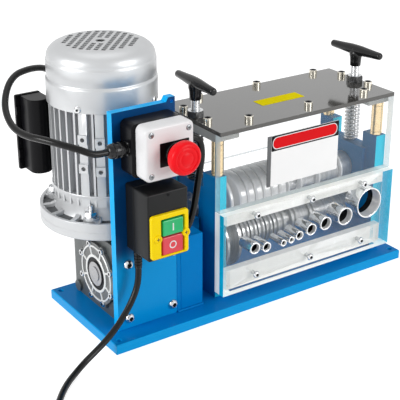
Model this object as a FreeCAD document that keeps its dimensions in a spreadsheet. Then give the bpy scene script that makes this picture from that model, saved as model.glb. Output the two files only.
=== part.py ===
import FreeCAD, Part
import math
import os
import re

import Sketcher

# Electric wire stripping machine: a worm gear motor turns a row of grooved feed rollers, and
# sprung cutting discs above them split the insulation of a cable pushed in through a sleeve.
# Millimetres. The origin is the middle of the base plate's underside, +X runs along the rollers
# away from the motor, -Y is the side where the cables go in, and +Z is up.

SIZES = {
    # Base plate
    "base_length": 440.0,
    "base_depth": 164.0,
    "base_thickness": 12.0,
    "base_hole_radius": 3.5,
    "base_hole_inset_x": 9.0,
    "base_hole_inset_y": 10.0,
    "base_chamfer": 1.0,
    # General fits
    "running_clearance": 0.05,
    "slide_clearance": 0.3,
    # Main axes
    "shaft_back": 5.0,
    "roller_middle": 73.5,
    "motor_to_rollers": 230.0,
    "gear_half_height": 48.5,
    "centre_distance": 40.0,
    "roller_spacing": 55.0,
    # Worm gearbox
    "gear_half_width": 35.0,
    "gear_foot_reach": 50.0,
    "gear_back_reach": 71.5,
    "gear_corner": 12.0,
    "gear_neck_radius": 53.0,
    "gear_neck_height": 10.0,
    "gear_floor": 5.0,
    "wheel_cavity_radius": 27.5,
    "worm_cavity_radius": 17.5,
    "boss_radius": 7.0,
    "boss_height": 3.0,
    "flange_radius": 80.0,
    "flange_thickness": 10.0,
    "flange_bolt_circle": 130.0,
    "flange_bolt_radius": 4.5,
    "side_cover_radius": 39.0,
    "side_cover_thickness": 4.0,
    "lobe_circle": 75.0,
    "lobe_radius": 5.5,
    "lobe_bolt_radius": 2.25,
    "lobe_bolt_depth": 8.0,
    "lobe_head_radius": 3.8,
    "lobe_head_height": 2.6,
    "seal_radius": 20.5,
    "seal_proud": 0.6,
    "wheel_hub_radius": 15.0,
    "wheel_hub_proud": 2.0,
    "wheel_radius": 25.0,
    "wheel_width": 20.0,
    "output_bearing_width": 13.0,
    "output_shaft_radius": 9.0,
    "worm_radius": 13.5,
    "worm_length": 44.0,
    "worm_journal_radius": 9.0,
    "worm_bearing_width": 10.0,
    "worm_socket_depth": 24.0,
    # Motor
    "shield_neck_radius": 54.0,
    "shield_rim_width": 6.0,
    "shield_rim_height": 6.0,
    "shield_neck_height": 11.0,
    "shield_rib_height": 8.0,
    "shield_rib_width": 4.0,
    "shield_rib_reach": 77.0,
    "motor_bore_radius": 46.0,
    "motor_tube_radius": 56.0,
    "motor_body_length": 122.0,
    "fin_radius": 63.2,
    "fin_width": 2.4,
    "pad_proud": 3.0,
    "pad_width": 11.0,
    "pad_height": 11.0,
    "pad_hole_radius": 2.6,
    "pad_hole_depth": 8.0,
    "pad_left_angle": -140.5,
    "pad_right_angle": -123.0,
    "pad_low_left": 198.0,
    "pad_low_right": 195.0,
    "pad_span": 35.0,
    "land_width": 10.0,
    "rotor_radius": 29.5,
    "rotor_length": 70.0,
    "rotor_height": 204.0,
    "air_gap": 0.6,
    "stator_length": 80.0,
    "motor_shaft_radius": 7.0,
    "motor_bearing_radius": 17.5,
    "motor_bearing_width": 11.0,
    "end_shield_thickness": 13.0,
    "fan_radius": 50.0,
    "fan_hub_radius": 12.0,
    "fan_plate": 2.0,
    "fan_blade_height": 18.0,
    "fan_blade_width": 2.5,
    "cowl_radius": 65.0,
    "cowl_wall": 1.5,
    "cowl_overlap": 8.0,
    "cowl_skirt_height": 29.0,
    "cowl_band_radius": 64.0,
    "cowl_band_height": 21.0,
    "cowl_shoulder_radius": 61.0,
    "cowl_shoulder_height": 5.0,
    "cowl_dome_height": 12.0,
    "cowl_top_radius": 48.0,
    "slot_width": 5.2,
    "slot_turn": -43.0,
    "slot_pitch": 8.6,
    "slot_circle": 44.0,
    "cowl_screw_radius": 4.0,
    "cowl_screw_height": 2.0,
    # Run capacitor box beside the motor
    "capacitor_left": 77.2,
    "capacitor_width": 26.5,
    "capacitor_back": 60.0,
    "capacitor_depth": 30.0,
    "capacitor_bottom": 160.0,
    "capacitor_height": 91.0,
    "capacitor_front_corner": 12.0,
    "capacitor_wall": 2.0,
    "capacitor_cover_lip": 6.0,
    "capacitor_cover_thickness": 4.0,
    # Terminal box behind the motor
    "terminal_half_width": 30.0,
    "terminal_depth": 38.0,
    "terminal_bottom": 138.0,
    "terminal_height": 60.0,
    # Control panel and its screws
    "panel_thickness": 10.0,
    "panel_left_reach": 45.0,
    "panel_right_reach": 36.0,
    "panel_height": 268.0,
    "panel_ear_width": 9.0,
    "panel_ear_height": 5.0,
    "foot_bolt_span_x": 60.0,
    "foot_bolt_span_z": 70.0,
    "foot_bolt_radius": 4.0,
    "foot_bolt_depth": 14.0,
    "foot_head_radius": 6.0,
    "foot_head_height": 4.4,
    # Emergency stop box
    "stop_box_offset": 0.5,
    "stop_box_height": 229.0,
    "stop_box_size": 62.0,
    "stop_base_depth": 25.0,
    "stop_cover_depth": 20.0,
    "stop_box_wall": 2.5,
    "stop_box_corner": 7.0,
    "mushroom_offset_x": 5.5,
    "mushroom_offset_z": 2.0,
    "mushroom_radius": 19.0,
    "mushroom_rim_radius": 16.5,
    "mushroom_length": 16.0,
    "mushroom_stand": 10.0,
    "mushroom_stem_radius": 7.0,
    "collar_radius": 12.5,
    "collar_height": 4.0,
    "contact_block_size": 26.0,
    "contact_block_depth": 16.0,
    "mushroom_travel": 4.0,
    "mushroom_socket": 8.0,
    # Switch box
    "switch_offset": 4.5,
    "switch_width": 52.0,
    "switch_bottom": 105.0,
    "switch_height": 80.0,
    "switch_depth": 47.0,
    "switch_wall": 2.5,
    "window_left": 14.5,
    "window_bottom": 5.5,
    "window_width": 30.5,
    "window_height": 44.0,
    "frame_band_left": 12.5,
    "frame_band_right": 5.5,
    "frame_band_top": 6.0,
    "frame_band_bottom": 2.5,
    "frame_proud": 4.0,
    "frame_lug_radius": 5.0,
    "frame_lug_rise": 22.0,
    "button_margin": 2.0,
    "start_button_height": 18.5,
    "button_proud": 4.5,
    "button_depth": 9.0,
    "button_travel": 2.5,
    # Leads and cord
    "lead_radius": 3.9,
    "jumper_radius": 4.0,
    "cord_radius": 3.75,
    "gland_radius": 8.5,
    "gland_length": 28.0,
    "jumper_gland_length": 10.0,
    "terminal_gland_length": 22.0,
    "relief_radius": 5.0,
    "relief_length": 20.0,
    "coil_radius": 50.0,
    "coil_turns": 3.0,
    "coil_pitch": 8.1,
    "cord_lead_in": 20.0,
    "plug_tail": 36.0,
    "tie_thickness": 0.8,
    "tie_width": 14.0,
    "plug_radius": 17.0,
    "plug_length": 38.0,
    "plug_pin_radius": 2.4,
    "plug_pin_length": 19.0,
    "plug_pin_span": 19.0,
    # Shaft coupling and its guard
    "coupling_radius": 20.0,
    "coupling_length": 34.0,
    "coupling_guard_height": 96.5,
    "coupling_guard_back": 62.0,
    "coupling_guard_wall": 3.0,
    "coupling_foot_height": 10.0,
    # Roller frame
    "plate_spacing": 253.0,
    "plate_thickness": 14.0,
    "plate_depth": 112.0,
    "plate_height": 159.0,
    "slot_across": 60.0,
    "slot_floor": 72.0,
    "bearing_radius": 17.5,
    "bearing_width": 10.0,
    "pillar_radius": 7.5,
    "pillar_height": 45.0,
    "pillar_inset": 9.0,
    "cross_bar_width": 34.0,
    "cross_bar_thickness": 10.0,
    "cover_overhang": 2.5,
    "top_plate_thickness": 5.0,
    "top_plate_overhang": 1.0,
    "top_screw_radius": 5.2,
    "top_screw_height": 4.0,
    "top_screw_shank": 3.0,
    "front_screw_1_offset": -81.5,
    "front_screw_2_offset": 9.5,
    "front_screw_3_offset": 100.5,
    "rear_screw_1_offset": -85.0,
    "rear_screw_2_offset": 5.5,
    "rear_screw_3_offset": 100.5,
    "rear_screw_inset": 2.0,
    "pair_screw_offset": 26.0,
    # Guards
    "guard_thickness": 10.0,
    "rear_guard_thickness": 5.0,
    "lower_guard_thickness": 8.0,
    "guard_split_height": 116.0,
    "guard_joint_gap": 0.5,
    "lower_guard_clearance": 8.5,
    "rear_guard_height": 127.0,
    "stile_width": 16.0,
    "upper_bar_rise": 98.0,
    "upper_bar_height": 18.0,
    "lower_bar_rise": 19.5,
    "lower_bar_height": 18.0,
    "guard_screw_span": 86.0,
    "guard_screw_radius": 4.6,
    "guard_screw_height": 3.0,
    "guard_screw_shank": 2.5,
    "guard_screw_length": 16.0,
    # Cable sleeves
    "sleeve_wall": 1.5,
    "sleeve_length": 24.0,
    "sleeve_proud": 6.0,
    # Each sleeve from left to right: offset from the rollers' middle, height over the base, bore
    "sleeve_1_offset": -92.5,
    "sleeve_1_rise": 65.3,
    "sleeve_1_bore": 12.0,
    "sleeve_2_offset": -74.6,
    "sleeve_2_rise": 62.1,
    "sleeve_2_bore": 10.0,
    "sleeve_3_offset": -48.2,
    "sleeve_3_rise": 60.4,
    "sleeve_3_bore": 6.0,
    "sleeve_4_offset": -35.7,
    "sleeve_4_rise": 61.2,
    "sleeve_4_bore": 6.0,
    "sleeve_5_offset": -23.1,
    "sleeve_5_rise": 64.0,
    "sleeve_5_bore": 9.0,
    "sleeve_6_offset": -4.1,
    "sleeve_6_rise": 67.3,
    "sleeve_6_bore": 13.0,
    "sleeve_7_offset": 19.4,
    "sleeve_7_rise": 69.5,
    "sleeve_7_bore": 15.0,
    "sleeve_8_offset": 51.7,
    "sleeve_8_rise": 71.1,
    "sleeve_8_bore": 21.0,
    "sleeve_9_offset": 92.0,
    "sleeve_9_rise": 80.1,
    "sleeve_9_bore": 38.0,
    # Rollers and discs
    "roller_shaft_radius": 8.5,
    "shaft_end": 2.0,
    "disc_radius": 32.0,
    "disc_width": 11.0,
    "disc_rim": 1.5,
    "disc_pitch": 12.5,
    "first_disc": 75.0,
    "disc_count": 6.0,
    "disc_spacer_radius": 27.0,
    "knife_thickness": 3.0,
    "knife_edge": 1.0,
    "entry_disc": 92.5,
    "entry_disc_width": 6.0,
    "left_spacer_radius": 14.0,
    "right_spacer_radius": 19.0,
    "feed_radius": 22.0,
    "feed_width": 10.5,
    "feed_groove_depth": 3.0,
    "feed_groove_width": 4.0,
    "feed_spacer_radius": 13.0,
    "flange_disc_radius": 38.0,
    "flange_disc_thickness": 4.0,
    "flange_disc_gap": 14.0,
    "wide_feed_width": 11.0,
    # Each channel for thick cables: offset from the rollers' middle, knife radius, roller radius
    "channel_1_offset": -1.5,
    "channel_1_knife_radius": 30.0,
    "channel_1_roller_radius": 20.0,
    "channel_2_offset": 20.5,
    "channel_2_knife_radius": 28.0,
    "channel_2_roller_radius": 18.0,
    "channel_3_offset": 52.5,
    "channel_3_knife_radius": 26.0,
    "channel_3_roller_radius": 16.0,
    "channel_4_offset": 92.5,
    "channel_4_knife_radius": 24.0,
    "channel_4_roller_radius": 14.0,
    # Bearing blocks, springs and lifting screws
    "block_bottom": 74.5,
    "block_height": 63.5,
    "block_lip": 4.8,
    "block_lip_across": 76.0,
    "screw_radius": 5.5,
    "screw_seat": 13.0,
    "screw_grip": 10.0,
    "spring_wire_radius": 1.2,
    "spring_coil_radius": 8.1,
    "spring_turns": 13.0,
    "spring_tail": 5.5,
    "nut_across_flats": 19.0,
    "nut_height": 8.0,
    "handle_stand": 13.0,
    "handle_boss_radius": 8.5,
    "handle_boss_height": 20.0,
    "handle_bar_radius": 6.6,
    "handle_tip_radius": 4.6,
    "handle_tip_round": 2.0,
    "handle_length": 88.0,
}

# Routes of the leads and of the free mains cord, chosen point by point.
CONTROL_LEAD_ROUTE = (
    (-232.0, -66.2, 246.0),
    (-244.0, -62.0, 250.5),
    (-259.3, -50.0, 255.3),
    (-272.0, -31.0, 258.0),
    (-280.0, -8.0, 256.5),
    (-284.0, 15.0, 259.0),
    (-281.0, 38.0, 266.5),
    (-274.0, 57.0, 276.5),
    (-260.5, 75.0, 288.3),
    (-246.0, 86.0, 295.0),
    (-231.0, 94.0, 295.5),
    (-212.5, 103.5, 293.5),
    (-194.5, 112.5, 288.0),
    (-182.5, 119.5, 276.0),
    (-173.0, 125.0, 262.0),
)
JUMPER_ROUTE = (
    (-100.0, -67.5, 238.0),
    (-91.5, -69.0, 228.0),
    (-91.0, -70.0, 213.0),
    (-95.5, -70.0, 197.0),
    (-99.5, -70.0, 180.0),
    (-103.5, -70.0, 162.0),
    (-107.5, -70.0, 145.0),
    (-113.0, -70.0, 131.0),
    (-122.0, -70.0, 123.0),
)
CORD_ROUTE = (
    (-186.6, -71.3, 68.0),
    (-196.0, -73.0, 55.0),
    (-208.5, -75.0, 42.5),
    (-222.5, -77.0, 31.0),
    (-237.5, -79.3, 21.5),
    (-253.0, -82.0, 13.8),
    (-269.0, -86.5, 8.2),
    (-284.5, -95.0, 4.8),
    (-298.5, -106.0, 3.75),
    (-311.5, -120.0, 3.75),
    (-323.5, -136.0, 3.75),
    (-337.0, -152.0, 3.75),
    (-351.5, -169.0, 3.95),
)
COIL_START = (-382.0, -208.0)
COIL_ANGLE = 141.5

DOC = FreeCAD.newDocument("wire_stripping_machine")
SHEET = DOC.addObject("Spreadsheet::Sheet", "Sizes")
NODES = []
ORIGIN = FreeCAD.Vector(0, 0, 0)
TURN = {
    "x": FreeCAD.Rotation(FreeCAD.Vector(0, 1, 0), 90),
    "y": FreeCAD.Rotation(FreeCAD.Vector(1, 0, 0), -90),
    "z": FreeCAD.Rotation(),
}
NEARLY_STRAIGHT = 1e-7
SLEEVE_COUNT = 9
CHANNEL_COUNT = 4

# Places that several pieces share, each worked out from the sizes.
SHAFT_Y = "shaft_back"
SHAFT_Z = "(base_thickness + gear_half_height)"
UPPER_Z = f"({SHAFT_Z} + roller_spacing)"
MOTOR_X = "(roller_middle - motor_to_rollers)"
MOTOR_Y = "(shaft_back + centre_distance)"
GEAR_TOP = f"({SHAFT_Z} + gear_half_height)"
FLANGE_BOTTOM = f"({GEAR_TOP} + gear_neck_height)"
MOTOR_BOTTOM = f"({FLANGE_BOTTOM} + flange_thickness)"
SHIELD_TOP = f"({MOTOR_BOTTOM} + flange_thickness)"
BODY_BOTTOM = f"({SHIELD_TOP} + shield_neck_height)"
BODY_TOP = f"({BODY_BOTTOM} + motor_body_length)"
COWL_BOTTOM = f"({BODY_TOP} - cowl_overlap)"
COVER_REACH = "(gear_half_width + side_cover_thickness)"
ROTOR_MIDDLE = "rotor_height"
PANEL_BACK = f"({SHAFT_Y} - gear_foot_reach)"
PANEL_FRONT = f"({PANEL_BACK} - panel_thickness)"
STOP_X = f"({MOTOR_X} + stop_box_offset)"
STOP_Z = "(base_thickness + stop_box_height)"
STOP_SPLIT = f"({PANEL_FRONT} - stop_base_depth)"
STOP_FRONT = f"({STOP_SPLIT} - stop_cover_depth)"
MUSHROOM_X = f"({STOP_X} + mushroom_offset_x)"
MUSHROOM_Z = f"({STOP_Z} - mushroom_offset_z)"
SWITCH_LEFT = f"({MOTOR_X} - switch_offset - switch_width / 2)"
SWITCH_BOTTOM = "(base_thickness + switch_bottom)"
SWITCH_FRONT = f"({PANEL_FRONT} - switch_depth)"
WINDOW_LEFT = f"({SWITCH_LEFT} + window_left)"
WINDOW_BOTTOM = f"({SWITCH_BOTTOM} + window_bottom)"
WINDOW_RIGHT = f"({WINDOW_LEFT} + window_width)"
WINDOW_TOP = f"({WINDOW_BOTTOM} + window_height)"
LEFT_PLATE_X = "(roller_middle - plate_spacing / 2)"
RIGHT_PLATE_X = "(roller_middle + plate_spacing / 2)"
PLATE_FRONT = f"({SHAFT_Y} - plate_depth / 2)"
PLATE_BACK = f"({SHAFT_Y} + plate_depth / 2)"
PLATE_TOP = "(base_thickness + plate_height)"
BAR_BOTTOM = f"({PLATE_TOP} + pillar_height)"
BAR_TOP = f"({BAR_BOTTOM} + cross_bar_thickness)"
TOP_Z = f"({BAR_TOP} + top_plate_thickness)"
COVER_LEFT = f"({LEFT_PLATE_X} - plate_thickness / 2 - cover_overhang)"
COVER_RIGHT = f"({RIGHT_PLATE_X} + plate_thickness / 2 + cover_overhang)"
GUARD_FRONT = f"({PLATE_FRONT} - guard_thickness)"
LOWER_FRONT = f"({GUARD_FRONT} - lower_guard_thickness)"
GUARD_SPLIT = "(base_thickness + guard_split_height)"
BLOCK_BOTTOM = "(base_thickness + block_bottom)"
BLOCK_TOP = f"({BLOCK_BOTTOM} + block_height)"
HANDLE_Z = f"({TOP_Z} + nut_height + handle_stand)"
COUPLING_LEFT = f"({MOTOR_X} + {COVER_REACH} + wheel_hub_proud + running_clearance * 10)"
SHAFT_JOINT = f"({COUPLING_LEFT} + coupling_length / 2)"


def fill_sheet():
    """Write every size into the sheet, one named cell each."""
    for row, (alias, value) in enumerate(SIZES.items(), start=1):
        SHEET.set(f"A{row}", str(value))
        SHEET.setAlias(f"A{row}", alias)
    DOC.recompute()


def bound(formula):
    """The formula with each size's name pointing at its cell in the sheet."""
    def cell(word):
        return f"Sizes.{word.group()}" if word.group() in SIZES else word.group()
    return re.sub(r"[a-z]\w*", cell, str(formula))


def number(formula):
    """What the formula comes to with the sizes in the sheet."""
    return float(SHEET.evalExpression(bound(formula)))


def point(x, y, z):
    """A point from three formulas."""
    return FreeCAD.Vector(number(x), number(y), number(z))


def node(item):
    """Mark an object as one of the sub-parts that are written to a file."""
    NODES.append(item)
    return item


def place(item, x, y, z):
    """Bind where an object stands."""
    for axis, formula in zip("xyz", (x, y, z)):
        item.setExpression(f"Placement.Base.{axis}", bound(formula))


def block(label, x, y, z):
    """A box between two planes on each axis, each plane a formula."""
    item = DOC.addObject("Part::Box", label)
    for size, (start, end) in zip(("Length", "Width", "Height"), (x, y, z)):
        item.setExpression(size, bound(f"({end}) - ({start})"))
    place(item, x[0], y[0], z[0])
    return item


def rod(label, axis, radius, start, end, centre):
    """A cylinder along an axis; centre holds its other two coordinates in XYZ order."""
    item = DOC.addObject("Part::Cylinder", label)
    item.Placement = FreeCAD.Placement(ORIGIN, TURN[axis])
    item.setExpression("Radius", bound(radius))
    item.setExpression("Height", bound(f"({end}) - ({start})"))
    base = list(centre)
    base.insert("xyz".index(axis), start)
    place(item, *base)
    return item


def join(label, pieces):
    """Several overlapping solids made one."""
    item = DOC.addObject("Part::MultiFuse", label)
    item.Shapes = pieces
    item.Refine = True
    return item


def cut(label, base, tools):
    """A solid with other solids taken away."""
    item = DOC.addObject("Part::Cut", label)
    item.Base = base
    item.Tool = tools[0] if len(tools) == 1 else join(f"{label}_tools", tools)
    return item


def bundle(label, pieces):
    """Alike pieces kept as separate solids in one sub-part."""
    item = DOC.addObject("Part::Compound", label)
    item.Links = pieces
    return item


def shaped(label, shape):
    """A sub-part whose shape is made in code from the sheet's values."""
    item = DOC.addObject("Part::Feature", label)
    item.Shape = shape
    return item


def body(label, x="0", y="0", z="0"):
    """An empty body that stands at the given place."""
    item = DOC.addObject("PartDesign::Body", label)
    place(item, x, y, z)
    return item


def origin_plane(item, role):
    """One of a body's own origin planes."""
    return next(feature for feature in item.Origin.OriginFeatures if feature.Role == role)


def sketch(item, role, rise="0"):
    """A sketch on one of the body's origin planes, or parallel to it at a height."""
    drawing = item.newObject("Sketcher::SketchObject", f"{item.Name}_sketch")
    drawing.AttachmentSupport = [(origin_plane(item, role), "")]
    drawing.MapMode = "FlatFace"
    drawing.setExpression("AttachmentOffset.Base.z", bound(rise))
    return drawing


def fix(drawing, kind, where, formula):
    """Add a constraint whose value follows a formula."""
    index = drawing.addConstraint(Sketcher.Constraint(kind, *where, number(formula)))
    drawing.setExpression(f"Constraints[{index}]", bound(formula))


def outline(drawing, corners):
    """A closed outline of straight lines through corners given as formulas."""
    first = drawing.GeometryCount
    count = len(corners)
    places = [point(across, along, "0") for across, along in corners]
    for index in range(count):
        line = Part.LineSegment(places[index], places[(index + 1) % count])
        drawing.addGeometry(line)
    for index, (across, along) in enumerate(corners):
        edge = first + index
        following = first + (index + 1) % count
        drawing.addConstraint(Sketcher.Constraint("Coincident", edge, 2, following, 1))
        fix(drawing, "DistanceX", (edge, 1), across)
        fix(drawing, "DistanceY", (edge, 1), along)


def rectangle(drawing, across, along):
    """A rectangle between two formulas each way."""
    (left, right), (low, high) = across, along
    outline(drawing, [(left, low), (right, low), (right, high), (left, high)])


def circle(drawing, across, along, radius):
    """A circle about a centre given as formulas."""
    ring = Part.Circle(point(across, along, "0"), FreeCAD.Vector(0, 0, 1), number(radius))
    index = drawing.addGeometry(ring)
    fix(drawing, "DistanceX", (index, 3), across)
    fix(drawing, "DistanceY", (index, 3), along)
    fix(drawing, "Radius", (index,), radius)


def pad(item, drawing, length, reverse=False):
    """Raise a sketch into a solid."""
    feature = item.newObject("PartDesign::Pad", f"{item.Name}_pad")
    feature.Profile = drawing
    feature.setExpression("Length", bound(length))
    feature.Reversed = reverse
    return feature


def pocket(item, drawing, length, reverse=False):
    """Cut a sketch into the solid, and make sure that it took something away."""
    DOC.recompute()
    before = item.Shape.Volume
    feature = item.newObject("PartDesign::Pocket", f"{item.Name}_pocket")
    feature.Profile = drawing
    feature.setExpression("Length", bound(length))
    feature.Reversed = reverse
    DOC.recompute()
    if item.Shape.Volume >= before:
        raise RuntimeError(f"{item.Label}: a pocket cuts nothing")
    return feature


def polar(item, feature, count):
    """Repeat a feature round the body's vertical axis."""
    pattern = item.newObject("PartDesign::PolarPattern", f"{item.Name}_pattern")
    pattern.Originals = [feature]
    pattern.Axis = (origin_plane(item, "Z_Axis"), [""])
    pattern.Angle = 360
    pattern.Occurrences = count
    item.Tip = pattern
    return pattern


def upright_edges(shape, axis):
    """Names of the straight edges that run along an axis."""
    names = []
    for index, edge in enumerate(shape.Edges, start=1):
        if edge.Curve.TypeId != "Part::GeomLine":
            continue
        way = edge.Curve.Direction
        if abs(way[axis]) > 0.999:
            names.append(f"Edge{index}")
    return names


def round_edges(item, base, axis, radius):
    """Round the edges of a padded block that run along one axis."""
    DOC.recompute()
    fillet = item.newObject("PartDesign::Fillet", f"{item.Name}_fillet")
    fillet.Base = (base, upright_edges(base.Shape, axis))
    fillet.setExpression("Radius", bound(radius))
    return fillet


def turned(label, axis, profile, x, y, z):
    """A body of revolution: profile lists (along the axis, radius) from the given place."""
    item = body(label, x, y, z)
    drawing = sketch(item, {"x": "XY_Plane", "y": "YZ_Plane", "z": "XZ_Plane"}[axis])
    if axis == "z":
        outline(drawing, [(radius, along) for along, radius in profile])
    else:
        outline(drawing, profile)
    feature = item.newObject("PartDesign::Revolution", f"{label}_turned")
    feature.Profile = drawing
    feature.ReferenceAxis = (drawing, ["V_Axis" if axis == "z" else "H_Axis"])
    feature.Angle = 360
    return item


def ring(label, axis, inner, outer, start, end, x, y, z):
    """A plain ring of rectangular section."""
    profile = [(start, inner), (end, inner), (end, outer), (start, outer)]
    return turned(label, axis, profile, x, y, z)


def bearing(label, axis, inner, outer, width, x, y, z):
    """A sealed ball bearing with its faces set back between the rings, centred on a place."""
    half = f"{width} / 2"
    step = f"({outer} - {inner}) / 4"
    sunk = f"{half} - 0.8"
    bore = f"{inner} + running_clearance"
    profile = [
        (f"-({half})", bore),
        (half, bore),
        (half, f"{inner} + {step}"),
        (sunk, f"{inner} + {step}"),
        (sunk, f"{outer} - {step}"),
        (half, f"{outer} - {step}"),
        (half, outer),
        (f"-({half})", outer),
        (f"-({half})", f"{outer} - {step}"),
        (f"-({sunk})", f"{outer} - {step}"),
        (f"-({sunk})", f"{inner} + {step}"),
        (f"-({half})", f"{inner} + {step}"),
    ]
    return turned(label, axis, profile, x, y, z)


def bolt(label, axis, way, head, height, shank, length, x, y, z):
    """A screw seated at a place: its head points along way, its shank the other way."""
    chamfer = f"{head} * 0.8"
    profile = [
        (f"{-way} * ({length})", "0"),
        (f"{-way} * ({length})", shank),
        ("0", shank),
        ("0", head),
        (f"{way} * ({height}) * 0.6", head),
        (f"{way} * ({height})", chamfer),
        (f"{way} * ({height})", "0"),
    ]
    return turned(label, axis, profile, x, y, z)


def around(count, radius, start=0.0):
    """Formulas of places spread evenly round a circle about the origin."""
    places = []
    for index in range(count):
        angle = math.radians(start + 360.0 * index / count)
        places.append((f"({radius}) * {math.cos(angle):.6f}", f"({radius}) * {math.sin(angle):.6f}"))
    return places


def arc(start, corner, end):
    """The arc that touches two lines meeting at a corner."""
    middle = (start + end) * 0.5
    half = start.distanceToPoint(end) / 2
    lean = corner - middle
    if lean.Length < NEARLY_STRAIGHT:
        return Part.LineSegment(start, end).toShape()
    rise = half * math.tan(math.atan2(lean.Length, half) / 2)
    return Part.Arc(start, middle + lean.normalize() * rise, end).toShape()


def biarc(start, leaving, end, arriving):
    """Two tangent arcs from one point and direction to another."""
    across = end - start
    along = across.dot(leaving + arriving)
    spread = 2 * (1 - leaving.dot(arriving))
    if spread < NEARLY_STRAIGHT:
        reach = across.dot(across) / (2 * along)
    else:
        reach = (math.sqrt(along * along + spread * across.dot(across)) - along) / spread
    first = start + leaving * reach
    second = end - arriving * reach
    middle = (first + second) * 0.5
    return [arc(start, first, middle), arc(middle, second, end)]


def through(stops):
    """Tangent arcs through a list of (point, direction)."""
    edges = []
    for (start, leaving), (end, arriving) in zip(stops, stops[1:]):
        edges += biarc(start, leaving, end, arriving)
    return edges


def bent(label, points):
    """Straight runs joined by the widest arcs that they allow, as edges."""
    share = 0.45
    edges = []
    radii = []
    here = points[0]
    for before, corner, after in zip(points, points[1:], points[2:]):
        came = (corner - before).normalize()
        goes = (after - corner).normalize()
        turn = came.getAngle(goes)
        shorter = min(before.distanceToPoint(corner), corner.distanceToPoint(after))
        radii.append(share * shorter / math.tan(turn / 2))
        start = corner - came * (share * shorter)
        end = corner + goes * (share * shorter)
        edges.append(Part.LineSegment(here, start).toShape())
        edges.append(arc(start, corner, end))
        here = end
    edges.append(Part.LineSegment(here, points[-1]).toShape())
    print(label, "bend radii", [round(radius) for radius in radii])
    return edges


def tube(label, edges, radius):
    """A round tube along edges, with its volume compared with section times length."""
    path = Part.Wire(edges)
    first = edges[0]
    start = first.valueAt(first.FirstParameter)
    way = first.tangentAt(first.FirstParameter)
    section = Part.Wire([Part.Circle(start, way, radius).toShape()])
    solid = path.makePipeShell([section], True, False)
    expected = math.pi * radius ** 2 * path.Length
    print(label, "length", round(path.Length), "volume share", round(solid.Volume / expected, 4))
    return solid


def self_gap(label, edges, radius, skip):
    """Print the least gap between turns, leaving out stretches close by along the path."""
    points = []
    run = 0.0
    for edge in edges:
        steps = 6
        for index in range(steps):
            share = index / steps
            span = edge.LastParameter - edge.FirstParameter
            points.append((run + edge.Length * share, edge.valueAt(edge.FirstParameter + span * share)))
        run += edge.Length
    least = min(
        one.distanceToPoint(other)
        for index, (here, one) in enumerate(points)
        for there, other in points[index + 1:]
        if there - here > skip
    )
    print(label, "least gap to itself", round(least - 2 * radius, 2))


def base_plate():
    """The blue plate that carries everything, with a bolt hole at each corner."""
    item = body("base_plate")
    drawing = sketch(item, "XY_Plane")
    rectangle(drawing, ("-base_length / 2", "base_length / 2"), ("-base_depth / 2", "base_depth / 2"))
    raised = pad(item, drawing, "base_thickness")
    DOC.recompute()
    chamfer = item.newObject("PartDesign::Chamfer", "base_plate_chamfer")
    top = [
        f"Edge{index}"
        for index, edge in enumerate(raised.Shape.Edges, start=1)
        if edge.BoundBox.ZMin > number("base_thickness") - 0.01
    ]
    chamfer.Base = (raised, top)
    chamfer.setExpression("Size", bound("base_chamfer"))
    holes = sketch(item, "XY_Plane")
    for side in (-1, 1):
        for end in (-1, 1):
            across = f"{side} * (base_length / 2 - base_hole_inset_x)"
            along = f"{end} * (base_depth / 2 - base_hole_inset_y)"
            circle(holes, across, along, "base_hole_radius")
    pocket(item, holes, "base_thickness", reverse=True)
    node(item)


def foot_bolt_places():
    """Where the gearbox's front foot is bolted to the panel, as X and Z formulas."""
    return [
        (f"{MOTOR_X} + {side} * foot_bolt_span_x / 2", f"{SHAFT_Z} + {end} * foot_bolt_span_z / 2")
        for side in (-1, 1)
        for end in (-1, 1)
    ]


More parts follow.
